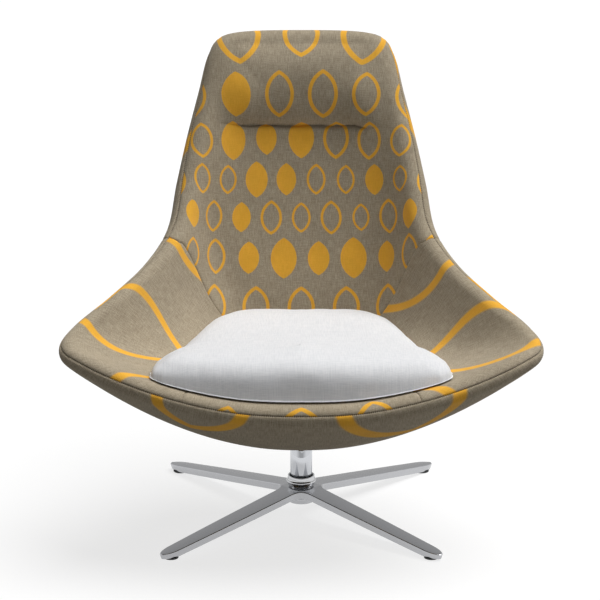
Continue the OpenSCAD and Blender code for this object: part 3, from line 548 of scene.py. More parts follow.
def leaf_field(tree, cloth, first_row, spacing, rows_per_turn, filled, line):
    """A half-drop field of pointed leaves, outlined or filled, over cloth coordinates in metres: 1
    on the print and 0 beside it. A row is one spacing high at first_row and grows with the distance
    from it, by about a half over rows_per_turn rows. A share of the leaves is filled, and the
    others are a line wide. Leaves are the overlap of two circles, in units of their row."""
    column_width = 0.80
    half_length, half_breadth, soft_edge = 0.47, 0.30, 0.006
    # Threads wander by up to a millimetre, in waves of 1.4 mm, so the print's edge is uneven
    wander = add(tree, "TexNoise", {"Vector": cloth, "Scale": 700.0, "Detail": 1.0}, 1)
    moved = add(tree, "VectorMath", [wander, (0.5, 0.5, 0.5)], operation="SUBTRACT")
    moved = add(tree, "VectorMath", {0: moved, "Scale": 2.2 * MM}, operation="SCALE")
    place = add(tree, "VectorMath", [cloth, moved], operation="ADD")
    u = add(tree, "SeparateXYZ", [place])
    v = add(tree, "SeparateXYZ", [place], 1)
    # Rows: their number grows as the inverse hyperbolic sine of the height
    above = add(tree, "Math", [v, first_row], operation="SUBTRACT")
    ratio = add(tree, "Math", [above, spacing * rows_per_turn], operation="DIVIDE")
    square = add(tree, "Math", [ratio, ratio, 1.0], operation="MULTIPLY_ADD")
    root = add(tree, "Math", [square], operation="SQRT")
    sum_root = add(tree, "Math", [ratio, root], operation="ADD")
    turn = add(tree, "Math", [sum_root, math.e], operation="LOGARITHM")
    count = add(tree, "Math", [turn, rows_per_turn], operation="MULTIPLY")
    row = add(tree, "Math", [count], operation="FLOOR")
    middle = add(tree, "Math", [row, 0.5], operation="ADD")
    middle = add(tree, "Math", [middle, rows_per_turn], operation="DIVIDE")
    centre = add(tree, "Math", [middle], operation="SINH")
    centre = add(tree, "Math", [centre, spacing * rows_per_turn], operation="MULTIPLY")
    growth = add(tree, "Math", [middle], operation="COSH")
    size = add(tree, "Math", [growth, spacing], operation="MULTIPLY")
    y = add(tree, "Math", [above, centre], operation="SUBTRACT")
    y = add(tree, "Math", [y, size], operation="DIVIDE")
    # Columns: every second row is shifted by half a leaf's spacing
    odd = add(tree, "Math", [row, 2.0], operation="MODULO")
    shift = add(tree, "Math", [odd, 0.5], operation="MULTIPLY")
    across = add(tree, "Math", [u, size], operation="DIVIDE")
    across = add(tree, "Math", [across, column_width], operation="DIVIDE")
    across = add(tree, "Math", [across, shift], operation="ADD")
    column = add(tree, "Math", [across], operation="FLOOR")
    x = add(tree, "Math", [across, column], operation="SUBTRACT")
    x = add(tree, "Math", [x, 0.5], operation="SUBTRACT")
    x = add(tree, "Math", [x, column_width], operation="MULTIPLY")
    cell = add(tree, "CombineXYZ", [column, row])
    chance = add(tree, "TexWhiteNoise", {"Vector": cell}, noise_dimensions="2D")
    other = add(tree, "TexWhiteNoise", {"Vector": cell}, 1, noise_dimensions="2D")
    other = add(tree, "SeparateXYZ", [other], 1)
    grow = add(tree, "MapRange", [other, 0, 1, 0.97, 1.3])
    x = add(tree, "Math", [x, grow], operation="MULTIPLY")
    y = add(tree, "Math", [y, grow], operation="MULTIPLY")
    # A leaf is where the distance to the far one of two centres is under the circles' radius
    radius = (half_length ** 2 + half_breadth ** 2) / (2 * half_breadth)
    side = add(tree, "Math", [x], operation="ABSOLUTE")
    side = add(tree, "Math", [side, radius - half_breadth], operation="ADD")
    far = add(tree, "CombineXYZ", [side, y])
    far = add(tree, "VectorMath", [far], 1, operation="LENGTH")
    depth = add(tree, "Math", [radius, far], operation="SUBTRACT")
    body = add(tree, "MapRange", [depth, -soft_edge, soft_edge])
    hollow = add(tree, "MapRange", [depth, line - soft_edge, line + soft_edge])
    is_open = add(tree, "Math", [chance, filled], operation="GREATER_THAN")
    hollow = add(tree, "Math", [hollow, is_open], operation="MULTIPLY")
    return add(tree, "Math", [body, hollow], operation="SUBTRACT", use_clamp=True)


def plain_weave(tree, cloth):
    """A plain weave's height over cloth coordinates: noise stretched along the warp and along the
    weft, with flecks. Its threads of 1.7 mm are twice as coarse as the real yarn, to show."""
    pitch = 1.7 * MM
    threads = []
    for stretch in ((1, 0.10, 1), (0.10, 1, 1)):
        yarn = add(tree, "VectorMath", [cloth, stretch], operation="MULTIPLY")
        threads.append(add(tree, "TexNoise", {"Vector": yarn, "Scale": 1 / pitch, "Detail": 1.0}))
    fleck = add(tree, "TexNoise", {"Vector": cloth, "Scale": 1 / pitch, "Detail": 2.0})
    weave = add(tree, "Math", [threads[0], 0.9, fleck], operation="MULTIPLY_ADD")
    return add(tree, "Math", [threads[1], 0.6, weave], operation="MULTIPLY_ADD")


def stitch_holes(tree):
    """The needle's holes along the rim's seam, 4 mm apart: 1 in a hole and 0 beside it. The print sinks
    them in its bump and darkens them as painted shade.
    """
    stitch = 4 * MM
    seam = add(tree, "UVMap", uv_map="seam")
    run = add(tree, "SeparateXYZ", [seam])
    gap = add(tree, "SeparateXYZ", [seam], 1)
    beat = add(tree, "Math", [run, 2 * math.pi / stitch], operation="MULTIPLY")
    beat = add(tree, "Math", [beat], operation="COSINE")
    beat = add(tree, "MapRange", [beat, -0.2, 0.6])
    near = add(tree, "MapRange", [gap, 0.6 * MM, 2.2 * MM, 1.0, 0.0])
    return add(tree, "Math", [beat, near], operation="MULTIPLY")


def wool_print(name, colours, *leaves):
    """Printed melange wool, woven: matt, with speckled threads in a coarse plain weave, slightly cloudy,
    and with leaves in golden yellow. The two thread tones follow the weave's height, so its dips are darker
    as painted shade, and the needle holes are painted darker too. The last values are those of leaf_field."""
    material, tree, shader = new_material(name)
    cloth = add(tree, "UVMap", uv_map="cloth")
    leaf = leaf_field(tree, cloth, *leaves)
    weave = plain_weave(tree, cloth)
    hole = stitch_holes(tree)
    # Thread tones partly, painted shade partly: the colour follows the weave's height, so its low places
    # are darker
    thread_tone_and_dip_shade = add(tree, "MapRange", [weave, 0.95, 1.55])
    # The clouds are about 60 mm across
    cloudy = add(tree, "TexNoise", {"Vector": cloth, "Scale": 16.0, "Detail": 2.0})
    cloudy = add(tree, "MapRange", [cloudy, 0.3, 0.7, 0.95, 1.05])
    taupe = add(tree, "Mix", {"Factor": thread_tone_and_dip_shade, "A": linear(colours.wool_dark),
                              "B": linear(colours.wool_light)}, 2, data_type="RGBA")
    yellow = np.array(linear(colours.print_yellow))
    # Painted shade: a deeper gold for the print in the weave's dips
    dip_shaded_gold = tuple((yellow * [0.90, 0.85, 0.76, 1]).tolist())
    gold = add(tree, "Mix", {"Factor": thread_tone_and_dip_shade, "A": dip_shaded_gold, "B": tuple(yellow.tolist())}, 2, data_type="RGBA")
    colour = add(tree, "Mix", {"Factor": leaf, "A": taupe, "B": gold}, 2, data_type="RGBA")
    # Painted shade in the needle holes: the colour drops to under half there, on top of the cloth's own
    # clouds
    darker = add(tree, "Math", [hole, -0.6, cloudy], operation="MULTIPLY_ADD")
    colour = add(tree, "VectorMath", {0: colour, "Scale": darker}, operation="SCALE")
    height = add(tree, "Math", [hole, -1.2, weave], operation="MULTIPLY_ADD")
    bump = add(tree, "Bump", {"Height": height, "Distance": 0.5 * MM, "Strength": 0.5})
    wire(tree, shader, {
        "Base Color": colour, "Normal": bump, "Roughness": 0.9, "Specular IOR Level": 0.2,
        "Sheen Weight": 0.25, "Sheen Roughness": 0.5, "Sheen Tint": linear("#e9dfcf")})
    return material


def plain_cloth(name, dark, light, pitch, bump_depth):
    """Plain woven linen or hopsack: matt, with slubby threads that vary between two tones; the darker tone
    follows the weave's low places, as painted shade. The threads are noise on Object coordinates, stretched
    along one axis or across it."""
    material, tree, shader = new_material(name)
    where = add(tree, "TexCoord", out=3)
    yarns = []
    for stretch in ((1.0, 0.05, 0.05), (0.05, 1.0, 1.0)):
        scaled = add(tree, "VectorMath", [where, [value / pitch for value in stretch]],
                     operation="MULTIPLY")
        yarns.append(add(tree, "TexNoise", {"Vector": scaled, "Scale": 1.0, "Detail": 2.0}))
    weave = add(tree, "Math", [yarns[0], yarns[1]], operation="ADD")
    # Thread tones partly, painted shade partly: the weave's low places take the darker colour
    thread_tone_and_dip_shade = add(tree, "MapRange", [weave, 0.72, 1.28])
    colour = add(tree, "Mix", {"Factor": thread_tone_and_dip_shade, "A": dark, "B": light}, 2, data_type="RGBA")
    bump = add(tree, "Bump", {"Height": weave, "Distance": bump_depth, "Strength": 0.6})
    wire(tree, shader, {"Base Color": colour, "Normal": bump, "Roughness": 0.92,
                        "Specular IOR Level": 0.2, "Sheen Weight": 0.1})
    return material


def metal(name, colour, roughness, grain, grain_depth):
    """Bare or plated metal: mirror images that a faint wave, left by the wheel or the bath, bends
    and dulls from place to place. The wave is noise of a scale in waves to the metre."""
    material, tree, shader = new_material(name)
    where = add(tree, "TexCoord", out=3)
    fine = add(tree, "TexNoise", {"Vector": where, "Scale": grain, "Detail": 2.0})
    rough = add(tree, "MapRange", [fine, 0, 1, roughness * 0.8, roughness * 1.25])
    bump = add(tree, "Bump", {"Height": fine, "Distance": grain_depth, "Strength": 0.25})
    wire(tree, shader, {"Base Color": linear(colour), "Metallic": 1.0, "Roughness": rough,
                        "Normal": bump})
    return material


def grained_skin(name, colour, roughness):
    """Moulded plastic or a powder coat: the fine grain of the tool, or of the melted powder, gives
    a soft, broken highlight. The grains of 0.7 mm are coarser than real ones, to show."""
    material, tree, shader = new_material(name)
    where = add(tree, "TexCoord", out=3)
    grain = add(tree, "TexNoise", {"Vector": where, "Scale": 1400.0, "Detail": 1.0})
    bump = add(tree, "Bump", {"Height": grain, "Distance": 0.1 * MM, "Strength": 0.3})
    wire(tree, shader, {"Base Color": linear(colour), "Roughness": roughness, "Normal": bump})
    return material


def birch_ply(name):
    """Birch plywood, sawn round: pale face veneer with long grain, in streaks of 5 by 80 mm."""
    material, tree, shader = new_material(name)
    where = add(tree, "TexCoord", out=3)
    long_grain = add(tree, "VectorMath", [where, (12.0, 220.0, 220.0)], operation="MULTIPLY")
    grain = add(tree, "TexNoise", {"Vector": long_grain, "Scale": 1.0, "Detail": 4.0})
    colour = add(tree, "Mix", {"Factor": grain, "A": linear("#b98f5c"), "B": linear("#dcc093")}, 2,
                 data_type="RGBA")
    wire(tree, shader, {"Base Color": colour, "Roughness": 0.6})
    return material


# Operators

def settings():
    """The sizes and colours that the user has set."""
    return bpy.context.scene.chair_sizes, bpy.context.scene.chair_colours


class CHAIR_OT_inner_covers(Operator):
    """Make the covers inside the shell: front lip, arms, back with headrest, and seat deck"""
    bl_idname = "chair.inner_covers"
    bl_label = "Inner covers"

    def execute(self, context):
        sizes, colours = settings()
        shell = Shell(sizes)
        # Small leaves on the back, some filled, that grow away from a row across it; large outlined
        # leaves on the arms
        back_cloth = wool_print("wool_print_back", colours, 0.30, 0.075, 2.6, 0.42, 0.075)
        arm_cloth = wool_print("wool_print_arms", colours, -0.6, 0.14, 3.0, 0.0, 0.055)
        rows = to_rim(0.40, 24)
        lip = cover(shell, sizes, "front_lip_cover", eased(-LIP_KEY, LIP_KEY, 90), rows,
                    [-LIP_KEY, LIP_KEY], arm_cloth, ["front_lip_panel", "front_lip_foam"])
        lay_flat(lip, lambda p: p[:, :2], (0.0, 0.06))
        pieces = [lip]
        for side, name in ((1, "right"), (-1, "left")):
            keys = eased(LIP_KEY, ARM_KEY, 130)
            seams = np.array([LIP_KEY, ARM_KEY])
            if side < 0:
                keys, seams = 2 * TOP_KEY - keys[::-1], 2 * TOP_KEY - seams
            arm = cover(shell, sizes, f"arm_cover_{name}", keys, rows, seams, arm_cloth,
                        [f"arm_panel_{name}", f"arm_foam_{name}"])
            # The cloth of each arm lies to its own side of the lip's, so the two prints differ
            lay_flat(arm, lambda p: np.column_stack([-p[:, 1] * side + 0.1, side * p[:, 0]]),
                     (0.4 * side, 0))
            pieces.append(arm)
        # The back's grid is closest at the arms' seams and at the fold
        near_seam = ARM_KEY + 2.9 * (1 - np.cos(np.linspace(0, np.pi / 2, 30)))
        fold = spread(near_seam[-1], 10, 11.94, 20, 12.06, 10, 12.35, 12, 13.5, 14, TOP_KEY)
        half = np.concatenate([near_seam[:-1], fold])
        keys = np.concatenate([half, 2 * TOP_KEY - half[-2::-1]])
        back = cover(shell, sizes, "back_cover", keys, to_rim(0, 34), BACK_SEAMS, back_cloth,
                     ["back_panel", "headrest_panel", "back_foam", "headrest_foam"], folded=True)
        # The back leans, so its cloth is longer than it is high
        lay_flat(back, lambda p: np.column_stack([p[:, 0], (p[:, 2] - 0.35) / 0.85]))
        pieces.append(back)
        # Woven hopsack, black and dull, because the cushion lies on it
        deck_cloth = plain_cloth("black_hopsack", linear("#2b2926"), linear("#4a4641"), 1.4 * MM,
                                 0.5 * MM)
        deck = cover(shell, sizes, "seat_deck", spread(-ARM_KEY, 60, 0, 60, ARM_KEY),
                     spread(0, 14, 0.42), [], deck_cloth, ["seat_deck_panel", "seat_foam"],
                     folded=True, sink=1 * MM)
        pieces.append(deck)
        for piece in pieces:
            thicken(piece, sizes.cloth_thickness)
        return {"FINISHED"}


class CHAIR_OT_outer_cover(Operator):
    """Make the covers outside the shell, from the rim's seam to the mounting plate: bowl and back"""
    bl_idname = "chair.outer_cover"
    bl_label = "Outer cover"

    def execute(self, context):
        sizes, colours = settings()
        shell = Shell(sizes)
        # The largest leaves, outlined
        cloth = wool_print("wool_print_outside", colours, -0.35, 0.17, 3.0, 0.0, 0.06)
        rows = to_rim(0, 38)
        bowl = cover(shell, sizes, "outer_cover_bowl", eased(-ARM_KEY, ARM_KEY, 240), rows,
                     BACK_SEAMS, cloth, ["outer_cover", "outer_foam", "rim_roll"], inside=False,
                     folded=True)
        lay_flat(bowl, lambda p: np.column_stack([p[:, 0], p[:, 2] - p[:, 1]]))
        back = cover(shell, sizes, "outer_cover_back", eased(*BACK_SEAMS, 200), rows, BACK_SEAMS,
                     cloth, [], inside=False, folded=True)
        lay_flat(back, lambda p: np.column_stack([-p[:, 0], p[:, 2]]))
        for piece in (bowl, back):
            thicken(piece, sizes.cloth_thickness)
        return {"FINISHED"}


def squared(angle, round_share):
    """A superellipse's point at an angle, for a roundness: its place across and its height."""
    across, up = np.abs(np.cos(angle)), np.abs(np.sin(angle))
    size = (across ** (1 / round_share) + up ** (1 / round_share)) ** round_share
    return across / size, up / size


def cushion_surface(shell, sizes, keys, angles, side, shrink):
    """Cushion points over keys and angles: a right angle is the middle line and 0 the edge. The
    underside follows the seat, and the top rises over it as a superellipse. A shrink in metres
    makes all of it smaller, so that it has room to swell."""
    lift = sizes.cushion_gap + shrink
    end = CUSHION_KEYS[-1]
    key, angle = np.meshgrid(keys, angles, indexing="ij")
    reach = np.abs(key)
    front = 1 - np.clip((reach - CORNER_KEYS[0]) / (CORNER_KEYS[1] - CORNER_KEYS[0]), 0, 1)
    ring, full = squared(angle, SIDE_ROUND_SHARE + (FRONT_ROUND_SHARE - SIDE_ROUND_SHARE) * front)
    ring = ring * (1 - FRONT_LEAN_SHARE * front * np.sin(angle) ** 2)
    edge = np.interp(reach, CUSHION_KEYS, CUSHION_EDGE_SHARES) * (1 - shrink / CUSHION_HALF_SPAN)
    at = np.minimum(reach, end - 2 * shrink / CUSHION_HALF_SPAN) * np.sign(key)
    low = shell.point(at, edge * ring) + shell.normal(at, edge * ring) * lift
    edge_z = (shell.point(at, edge) + shell.normal(at, edge) * lift)[..., 2]
    middle, border = (np.interp(reach, CUSHION_TOP_KEYS, table)
                      for table in (CUSHION_MIDDLE_SHARES, CUSHION_SIDE_SHARES))
    crown = shell.seat_height + sizes.cushion_height * (middle + (border - middle) * ring ** 2)
    x = np.clip(1 - (end - reach) / REAR_ROUND_KEYS, 0, 1)
    rounding = np.clip(1 - x ** (1 / SIDE_ROUND_SHARE), 0, 1) ** SIDE_ROUND_SHARE
    lean = REAR_LEAN * np.clip((reach - REAR_LEAN_KEY) / (end - REAR_LEAN_KEY), 0, 1)
    height = np.maximum(edge_z + (crown - shrink - edge_z) * full - low[..., 2], 0) * rounding
    rise = np.stack([0 * lean, lean, np.ones_like(lean)], -1) * height[..., None]
    return low + rise if side else low


def cushion_net(shell, sizes, half, angles, shrink):
    """Points and faces of the cushion's closed surface; both sides share the middle line's halves,
    the edge and the two rear ends."""
    keys = np.concatenate([-half[:0:-1], half])
    top, low = (cushion_surface(shell, sizes, keys, angles, side, shrink) for side in (1, 0))
    top_ids = np.arange(len(keys) * len(angles)).reshape(len(keys), len(angles))
    low_ids = top_ids + top_ids.size
    for ids in (top_ids, low_ids):
        ids[:, 0] = np.minimum(ids[:, 0], ids[::-1, 0])
    low_ids[:, -1] = top_ids[:, -1]
    low_ids[0], low_ids[-1] = top_ids[0], top_ids[-1]
    points = np.concatenate([top.reshape(-1, 3), low.reshape(-1, 3)])
    return points, grid_faces(top_ids[::-1]) + grid_faces(low_ids)


def apply_modifiers(piece):
    """Apply all the modifiers of a piece to its mesh."""
    graph = bpy.context.evaluated_depsgraph_get()
    finished = bpy.data.meshes.new_from_object(piece.evaluated_get(graph), depsgraph=graph)
    piece.modifiers.clear()
    piece.data = finished


class CHAIR_OT_cushion(Operator):
    """Make the loose seat cushion: a stuffed cloth cover, swollen by a short cloth simulation"""
    bl_idname = "chair.cushion"
    bl_label = "Cushion"

    def execute(self, context):
        sizes, colours = settings()
        shell = Shell(sizes)
        # Woven linen, bleached: pale grey threads, a seventh darker where they dip, which is painted shade
        # in the weave's hollows
        pale = np.array(linear(colours.cushion_cloth))
        cloth = plain_cloth("linen_cushion", tuple((pale * [0.86, 0.87, 0.88, 1]).tolist()),
                            tuple(pale.tolist()), 1.5 * MM, 0.5 * MM)
        # The blank has room for the swell; both grids are closest at the front corners, and the
        # finer one also towards its rear end
        blank = spread(0, 24, 2.4, 16, 3.4, 40, 7.8, 24, 9.0)
        angles = np.radians(spread(90, 24, 0))
        start, normals, move = self.swell(*cushion_net(shell, sizes, blank, angles, 3 * MM))
        rear_key, rear_keys = 7.8, 1.2
        rear = rear_key + rear_keys * np.sin(np.linspace(0, np.pi / 2, 30))
        half = np.concatenate([spread(0, 34, 2.3, 30, 3.4, 56, rear_key)[:-1], rear])
        angles = np.radians(spread(90, 12, 62, 24, 20, 10, 4, 5, 0))
        points, faces = cushion_net(shell, sizes, half, angles, 1.5 * MM)
        cushion = make_object("seat_cushion", points, faces, cloth, "cushion",
                              ["cushion_core", "cushion_top_cover", "cushion_base_cover"])
        self.follow(cushion, start, normals, move)
        return {"FINISHED"}

    @staticmethod
    def swell(points, faces):
        """Inflate a remeshed blank as cloth; returns its points, their normals and their moves,
        each capped, and least on the underside."""
        mesh = bpy.data.meshes.new("cushion_blank")
        mesh.from_pydata(points.tolist(), [], faces)
        blank = bpy.data.objects.new("cushion_blank", mesh)
        bpy.context.scene.collection.objects.link(blank)
        voxels = blank.modifiers.new("voxels", "REMESH")
        voxels.mode = "VOXEL"
        voxels.voxel_size = 5 * MM
        apply_modifiers(blank)
        before, normals = read(blank), read(blank, "normal")
        # An even swell, which the simulation's result below replaces
        after = before + normals * 3 * MM
        cloth = blank.modifiers.new("cloth", "CLOTH")
        # A light, rather slack linen; the pressure is that of a soft stuffing
        linen = {"quality": 6, "mass": 0.3, "tension_stiffness": 18, "compression_stiffness": 12,
                 "bending_stiffness": 1.2, "use_pressure": True, "uniform_pressure_force": 4}
        for key, value in linen.items():
            setattr(cloth.settings, key, value)
        cloth.settings.effector_weights.gravity = 0
        cloth.point_cache.frame_start = 1
        cloth.point_cache.frame_end = 20
        for number in range(1, 21):
            bpy.context.scene.frame_set(number)
        apply_modifiers(blank)
        bpy.context.scene.frame_set(1)
        after = read(blank)
        bpy.data.objects.remove(blank)
        move = after - before
        length = np.linalg.norm(move, axis=1, keepdims=True)
        # The underside lies on the seat, so it moves least
        cap = np.where(normals[:, 2:3] < -0.2, 1.0 * MM, 6 * MM)
        return before, normals, move * np.minimum(1, cap / np.maximum(length, 1e-9))

    @staticmethod
    def follow(cushion, start, normals, move):
        """Carry the blank's moves over to the finer cushion: each point takes the mean of the moves
        around it, weighted by a bell curve of the distance and by how alike the normals are."""
        points, own = read(cushion), read(cushion, "normal")
        result = np.empty_like(points)
        spread_square = 2 * (6 * MM) ** 2
        batch = 400
        for first in range(0, len(points), batch):
            some = slice(first, first + batch)
            square = ((points[some] ** 2).sum(1)[:, None] + (start ** 2).sum(1)[None]
                      - 2 * points[some] @ start.T)
            alike = np.clip(own[some] @ normals.T, 1e-4, 1) ** 2
            weight = np.exp(-square / spread_square) * alike + 1e-30
            result[some] = weight @ move / weight.sum(1, keepdims=True)
        cushion.data.vertices.foreach_set("co", (points + result).ravel())
        cushion.data.update()


def lathe(name, profile, material, body, replaced, steps=128):
    """A closed turned piece: a profile of radius and height carried round the swivel axis."""
    profile = np.asarray(profile, float)
    angle = np.linspace(0, 2 * np.pi, steps, endpoint=False)
    points = np.stack([np.outer(np.cos(angle), profile[:, 0]), np.outer(np.sin(angle), profile[:, 0]),
                       np.broadcast_to(profile[:, 1], (steps, len(profile)))], -1)
    ids = np.arange(steps * len(profile)).reshape(steps, len(profile))
    ids = np.vstack([ids, ids[:1]])
    ids = np.hstack([ids, ids[:, :1]])
    return make_object(name, points.reshape(-1, 3), grid_faces(ids), material, body, replaced)


def leg_outline():
    """A leg's outline from above, along +X, and its normals towards the leg's inside. It is a
    fillet to the next leg as an arc, a taper with a belly as a half sine, and a round end as a
    quarter ellipse, and then the mirror image of these."""
    centre = ROOT_WIDTH + LEG_FILLET
    arc = np.radians(spread(225, 14, 270))
    fillet = np.column_stack([centre + LEG_FILLET * np.cos(arc), centre + LEG_FILLET * np.sin(arc)])
    straight = np.linspace(centre, LEG_REACH - TIP_LENGTH, 40)[1:]
    share = (straight - centre) / (LEG_REACH - TIP_LENGTH - centre)
    width = ROOT_WIDTH + (TIP_WIDTH - ROOT_WIDTH) * share + LEG_BELLY * np.sin(np.pi * share)
    end = np.radians(spread(90, 24, 0))[1:]
    tip = np.column_stack([LEG_REACH - TIP_LENGTH + TIP_LENGTH * np.cos(end),
                           TIP_WIDTH * np.sin(end)])
    side = np.vstack([fillet, np.column_stack([straight, width]), tip])
    outline = np.vstack([side, side[-2::-1] * [1, -1]])
    tangent = np.gradient(outline, axis=0)
    tangent[0] = [1, -1]
    tangent[-1] = [-1, -1]
    return outline, unit(np.column_stack([tangent[:, 1], -tangent[:, 0]]))


def leg_ring(outline, inward, inset, share, drop):
    """The outline drawn in by an inset, at a share of the leg's height at each place, less a drop.
    The leg's underside and top fall in straight lines from the hub to the tip."""
    plan = outline + inward * inset
    upper = np.interp(plan[:, 0], [LEG_START, LEG_REACH], [HUB_TOP, TIP_TOP])
    lower = np.interp(plan[:, 0], [LEG_START, LEG_REACH - TIP_LENGTH], [HUB_LOW, TIP_LOW])
    return np.column_stack([plan, lower + (upper - lower) * share - drop])


def leg_face(edge, crown):
    """The broad face within a ring: lines across between its two sides, and a fan of lines from
    the hub's centre, raised by a crown that falls as a parabola to both sides."""
    half = (len(edge) - 1) // 2
    across = np.concatenate([[-1, -0.97, -0.9], np.linspace(-0.8, 0.8, 13), [0.9, 0.97, 1]])
    near, far = edge[:half + 1], edge[:half - 1:-1]
    lines = (near[:, None] + far[:, None]) / 2 + (near - far)[:, None] / 2 * across[None, :, None]
    fan = np.concatenate([lines[:1] * [s, s, 1] for s in np.linspace(0, 1, 7)[:-1]])
    lines = np.concatenate([fan, lines])
    lines[..., 2] += crown * (1 - across[None] ** 2) * np.clip(lines[..., 0] / CROWN_START, 0, 1)
    return lines


class CHAIR_OT_star_base(Operator):
    """Make the polished star base: four tapering legs that flow into each other round the hub"""
    bl_idname = "chair.star_base"
    bl_label = "Star base"

    def execute(self, context):
        # Cast aluminium, ground and polished: bright, with mirror images a little softened
        aluminium = metal("polished_aluminium", "#bbbcbf", 0.17, 60.0, 0.2 * MM)
        rings = [leg_ring(*leg_outline(), *row) for row in LEG_RINGS]
        grids = ((np.stack(rings, 1), True), (leg_face(rings[0], LEG_CROWN), False),
                 (leg_face(rings[-1], 0.0), True))
        points, faces, base = [], [], 0
        for angle in np.radians([45, 135, 225, 315]):
            cos, sin = math.cos(angle), math.sin(angle)
            turn = np.array([[cos, sin, 0], [-sin, cos, 0], [0, 0, 1]])
            for grid, flip in grids:
                ids = np.arange(grid.shape[0] * grid.shape[1]).reshape(grid.shape[:2]) + base
                base += ids.size
                points.append((grid @ turn).reshape(-1, 3))
                faces += grid_faces(ids if flip else ids[::-1])
        star = make_object("star_base_casting", np.concatenate(points), faces, aluminium, "base",
                           ["star_base"])
        self.weld(star)
        lathe("hub_stub", np.array(STUB_PROFILE) * MM, aluminium, "base", [])
        return {"FINISHED"}

    @staticmethod
    def weld(piece):
        """Merge the points that the legs share, and turn all faces outwards."""
        work = bmesh.new()
        work.from_mesh(piece.data)
        bmesh.ops.remove_doubles(work, verts=work.verts, dist=0.02 * MM)
        bmesh.ops.recalc_face_normals(work, faces=work.faces)
        work.to_mesh(piece.data)
        work.free()
        piece.data.polygons.foreach_set("use_smooth", np.ones(len(piece.data.polygons), bool))


class CHAIR_OT_column(Operator):
    """Make the turned collar and the chrome column"""
    bl_idname = "chair.column"
    bl_label = "Collar and column"

    def execute(self, context):
        # Aluminium, turned and polished: brighter and sharper than the casting
        aluminium = metal("turned_aluminium", "#c6c7c9", 0.10, 90.0, 0.1 * MM)
        # Chrome plate on a drawn steel tube: the sharpest mirror of them all
        chrome = metal("chrome_plate", "#c9cbcf", 0.05, 40.0, 0.05 * MM)
        floor, top = float(COLLAR_LOW[2]) / MM, float(COLLAR_HIGH[2]) / MM
        collar = np.vstack([np.array(part) + [0, height] for part, height in (
            (COLLAR_OUTSIDE, floor), (COLLAR_LIP, top), (COLLAR_INSIDE, floor))])
        lathe("base_collar_turned", collar * MM, aluminium, "base",
              ["base_collar"])
        low, high = float(COLUMN_LOW[2]) / MM, float(COLUMN_HIGH[2]) / MM
        outer = float(COLUMN_HIGH[0]) / MM
        inner = outer - TUBE_WALL
        tube = [(outer - 0.5, low), (outer, low + 0.5), (outer, high), (inner, high), (inner, low)]
        lathe("column_chromed", np.array(tube) * MM, chrome, "seat", ["column_tube"], 160)
        return {"FINISHED"}


class CHAIR_OT_fittings(Operator):
    """Dress the small CAD pieces: glides, spindle, bushes, plate, bolts, board and moulded shell"""
    bl_idname = "chair.fittings"
    bl_label = "Fittings"

    def execute(self, context):
        # Each finish with the CAD pieces that take it
        finishes = (
            # Moulded nylon, black and dull
            (grained_skin("nylon_glide_black", "#1d1e20", 0.45),
             "glide_front_left glide_front_right glide_rear_left glide_rear_right hub_cap"),
            # Machined acetal, milky white
            (grained_skin("acetal_natural", "#e6e3da", 0.4), "thrust_washer lower_bush upper_bush"),
            # Moulded polypropylene, dark grey
            (grained_skin("polypropylene_dark", "#3a3b3e", 0.5), "shell_moulding"),
            # Baked powder coat on steel, nearly black
            (grained_skin("powder_coated_steel", "#2b2c2f", 0.42), "top_plate plate_bolts"),
            # Zinc plate on steel, a dull silver
            (metal("zinc_plated_steel", "#b4b6ba", 0.32, 150.0, 0.1 * MM),
             "glide_screws spindle hub_washer hub_nut retaining_washer retaining_screw t_nuts"),
            (birch_ply("birch_plywood"), "seat_board"))
        for material, names in finishes:
            for name in names.split():
                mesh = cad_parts[name].data
                mesh.materials.clear()
                mesh.materials.append(material)
        return {"FINISHED"}


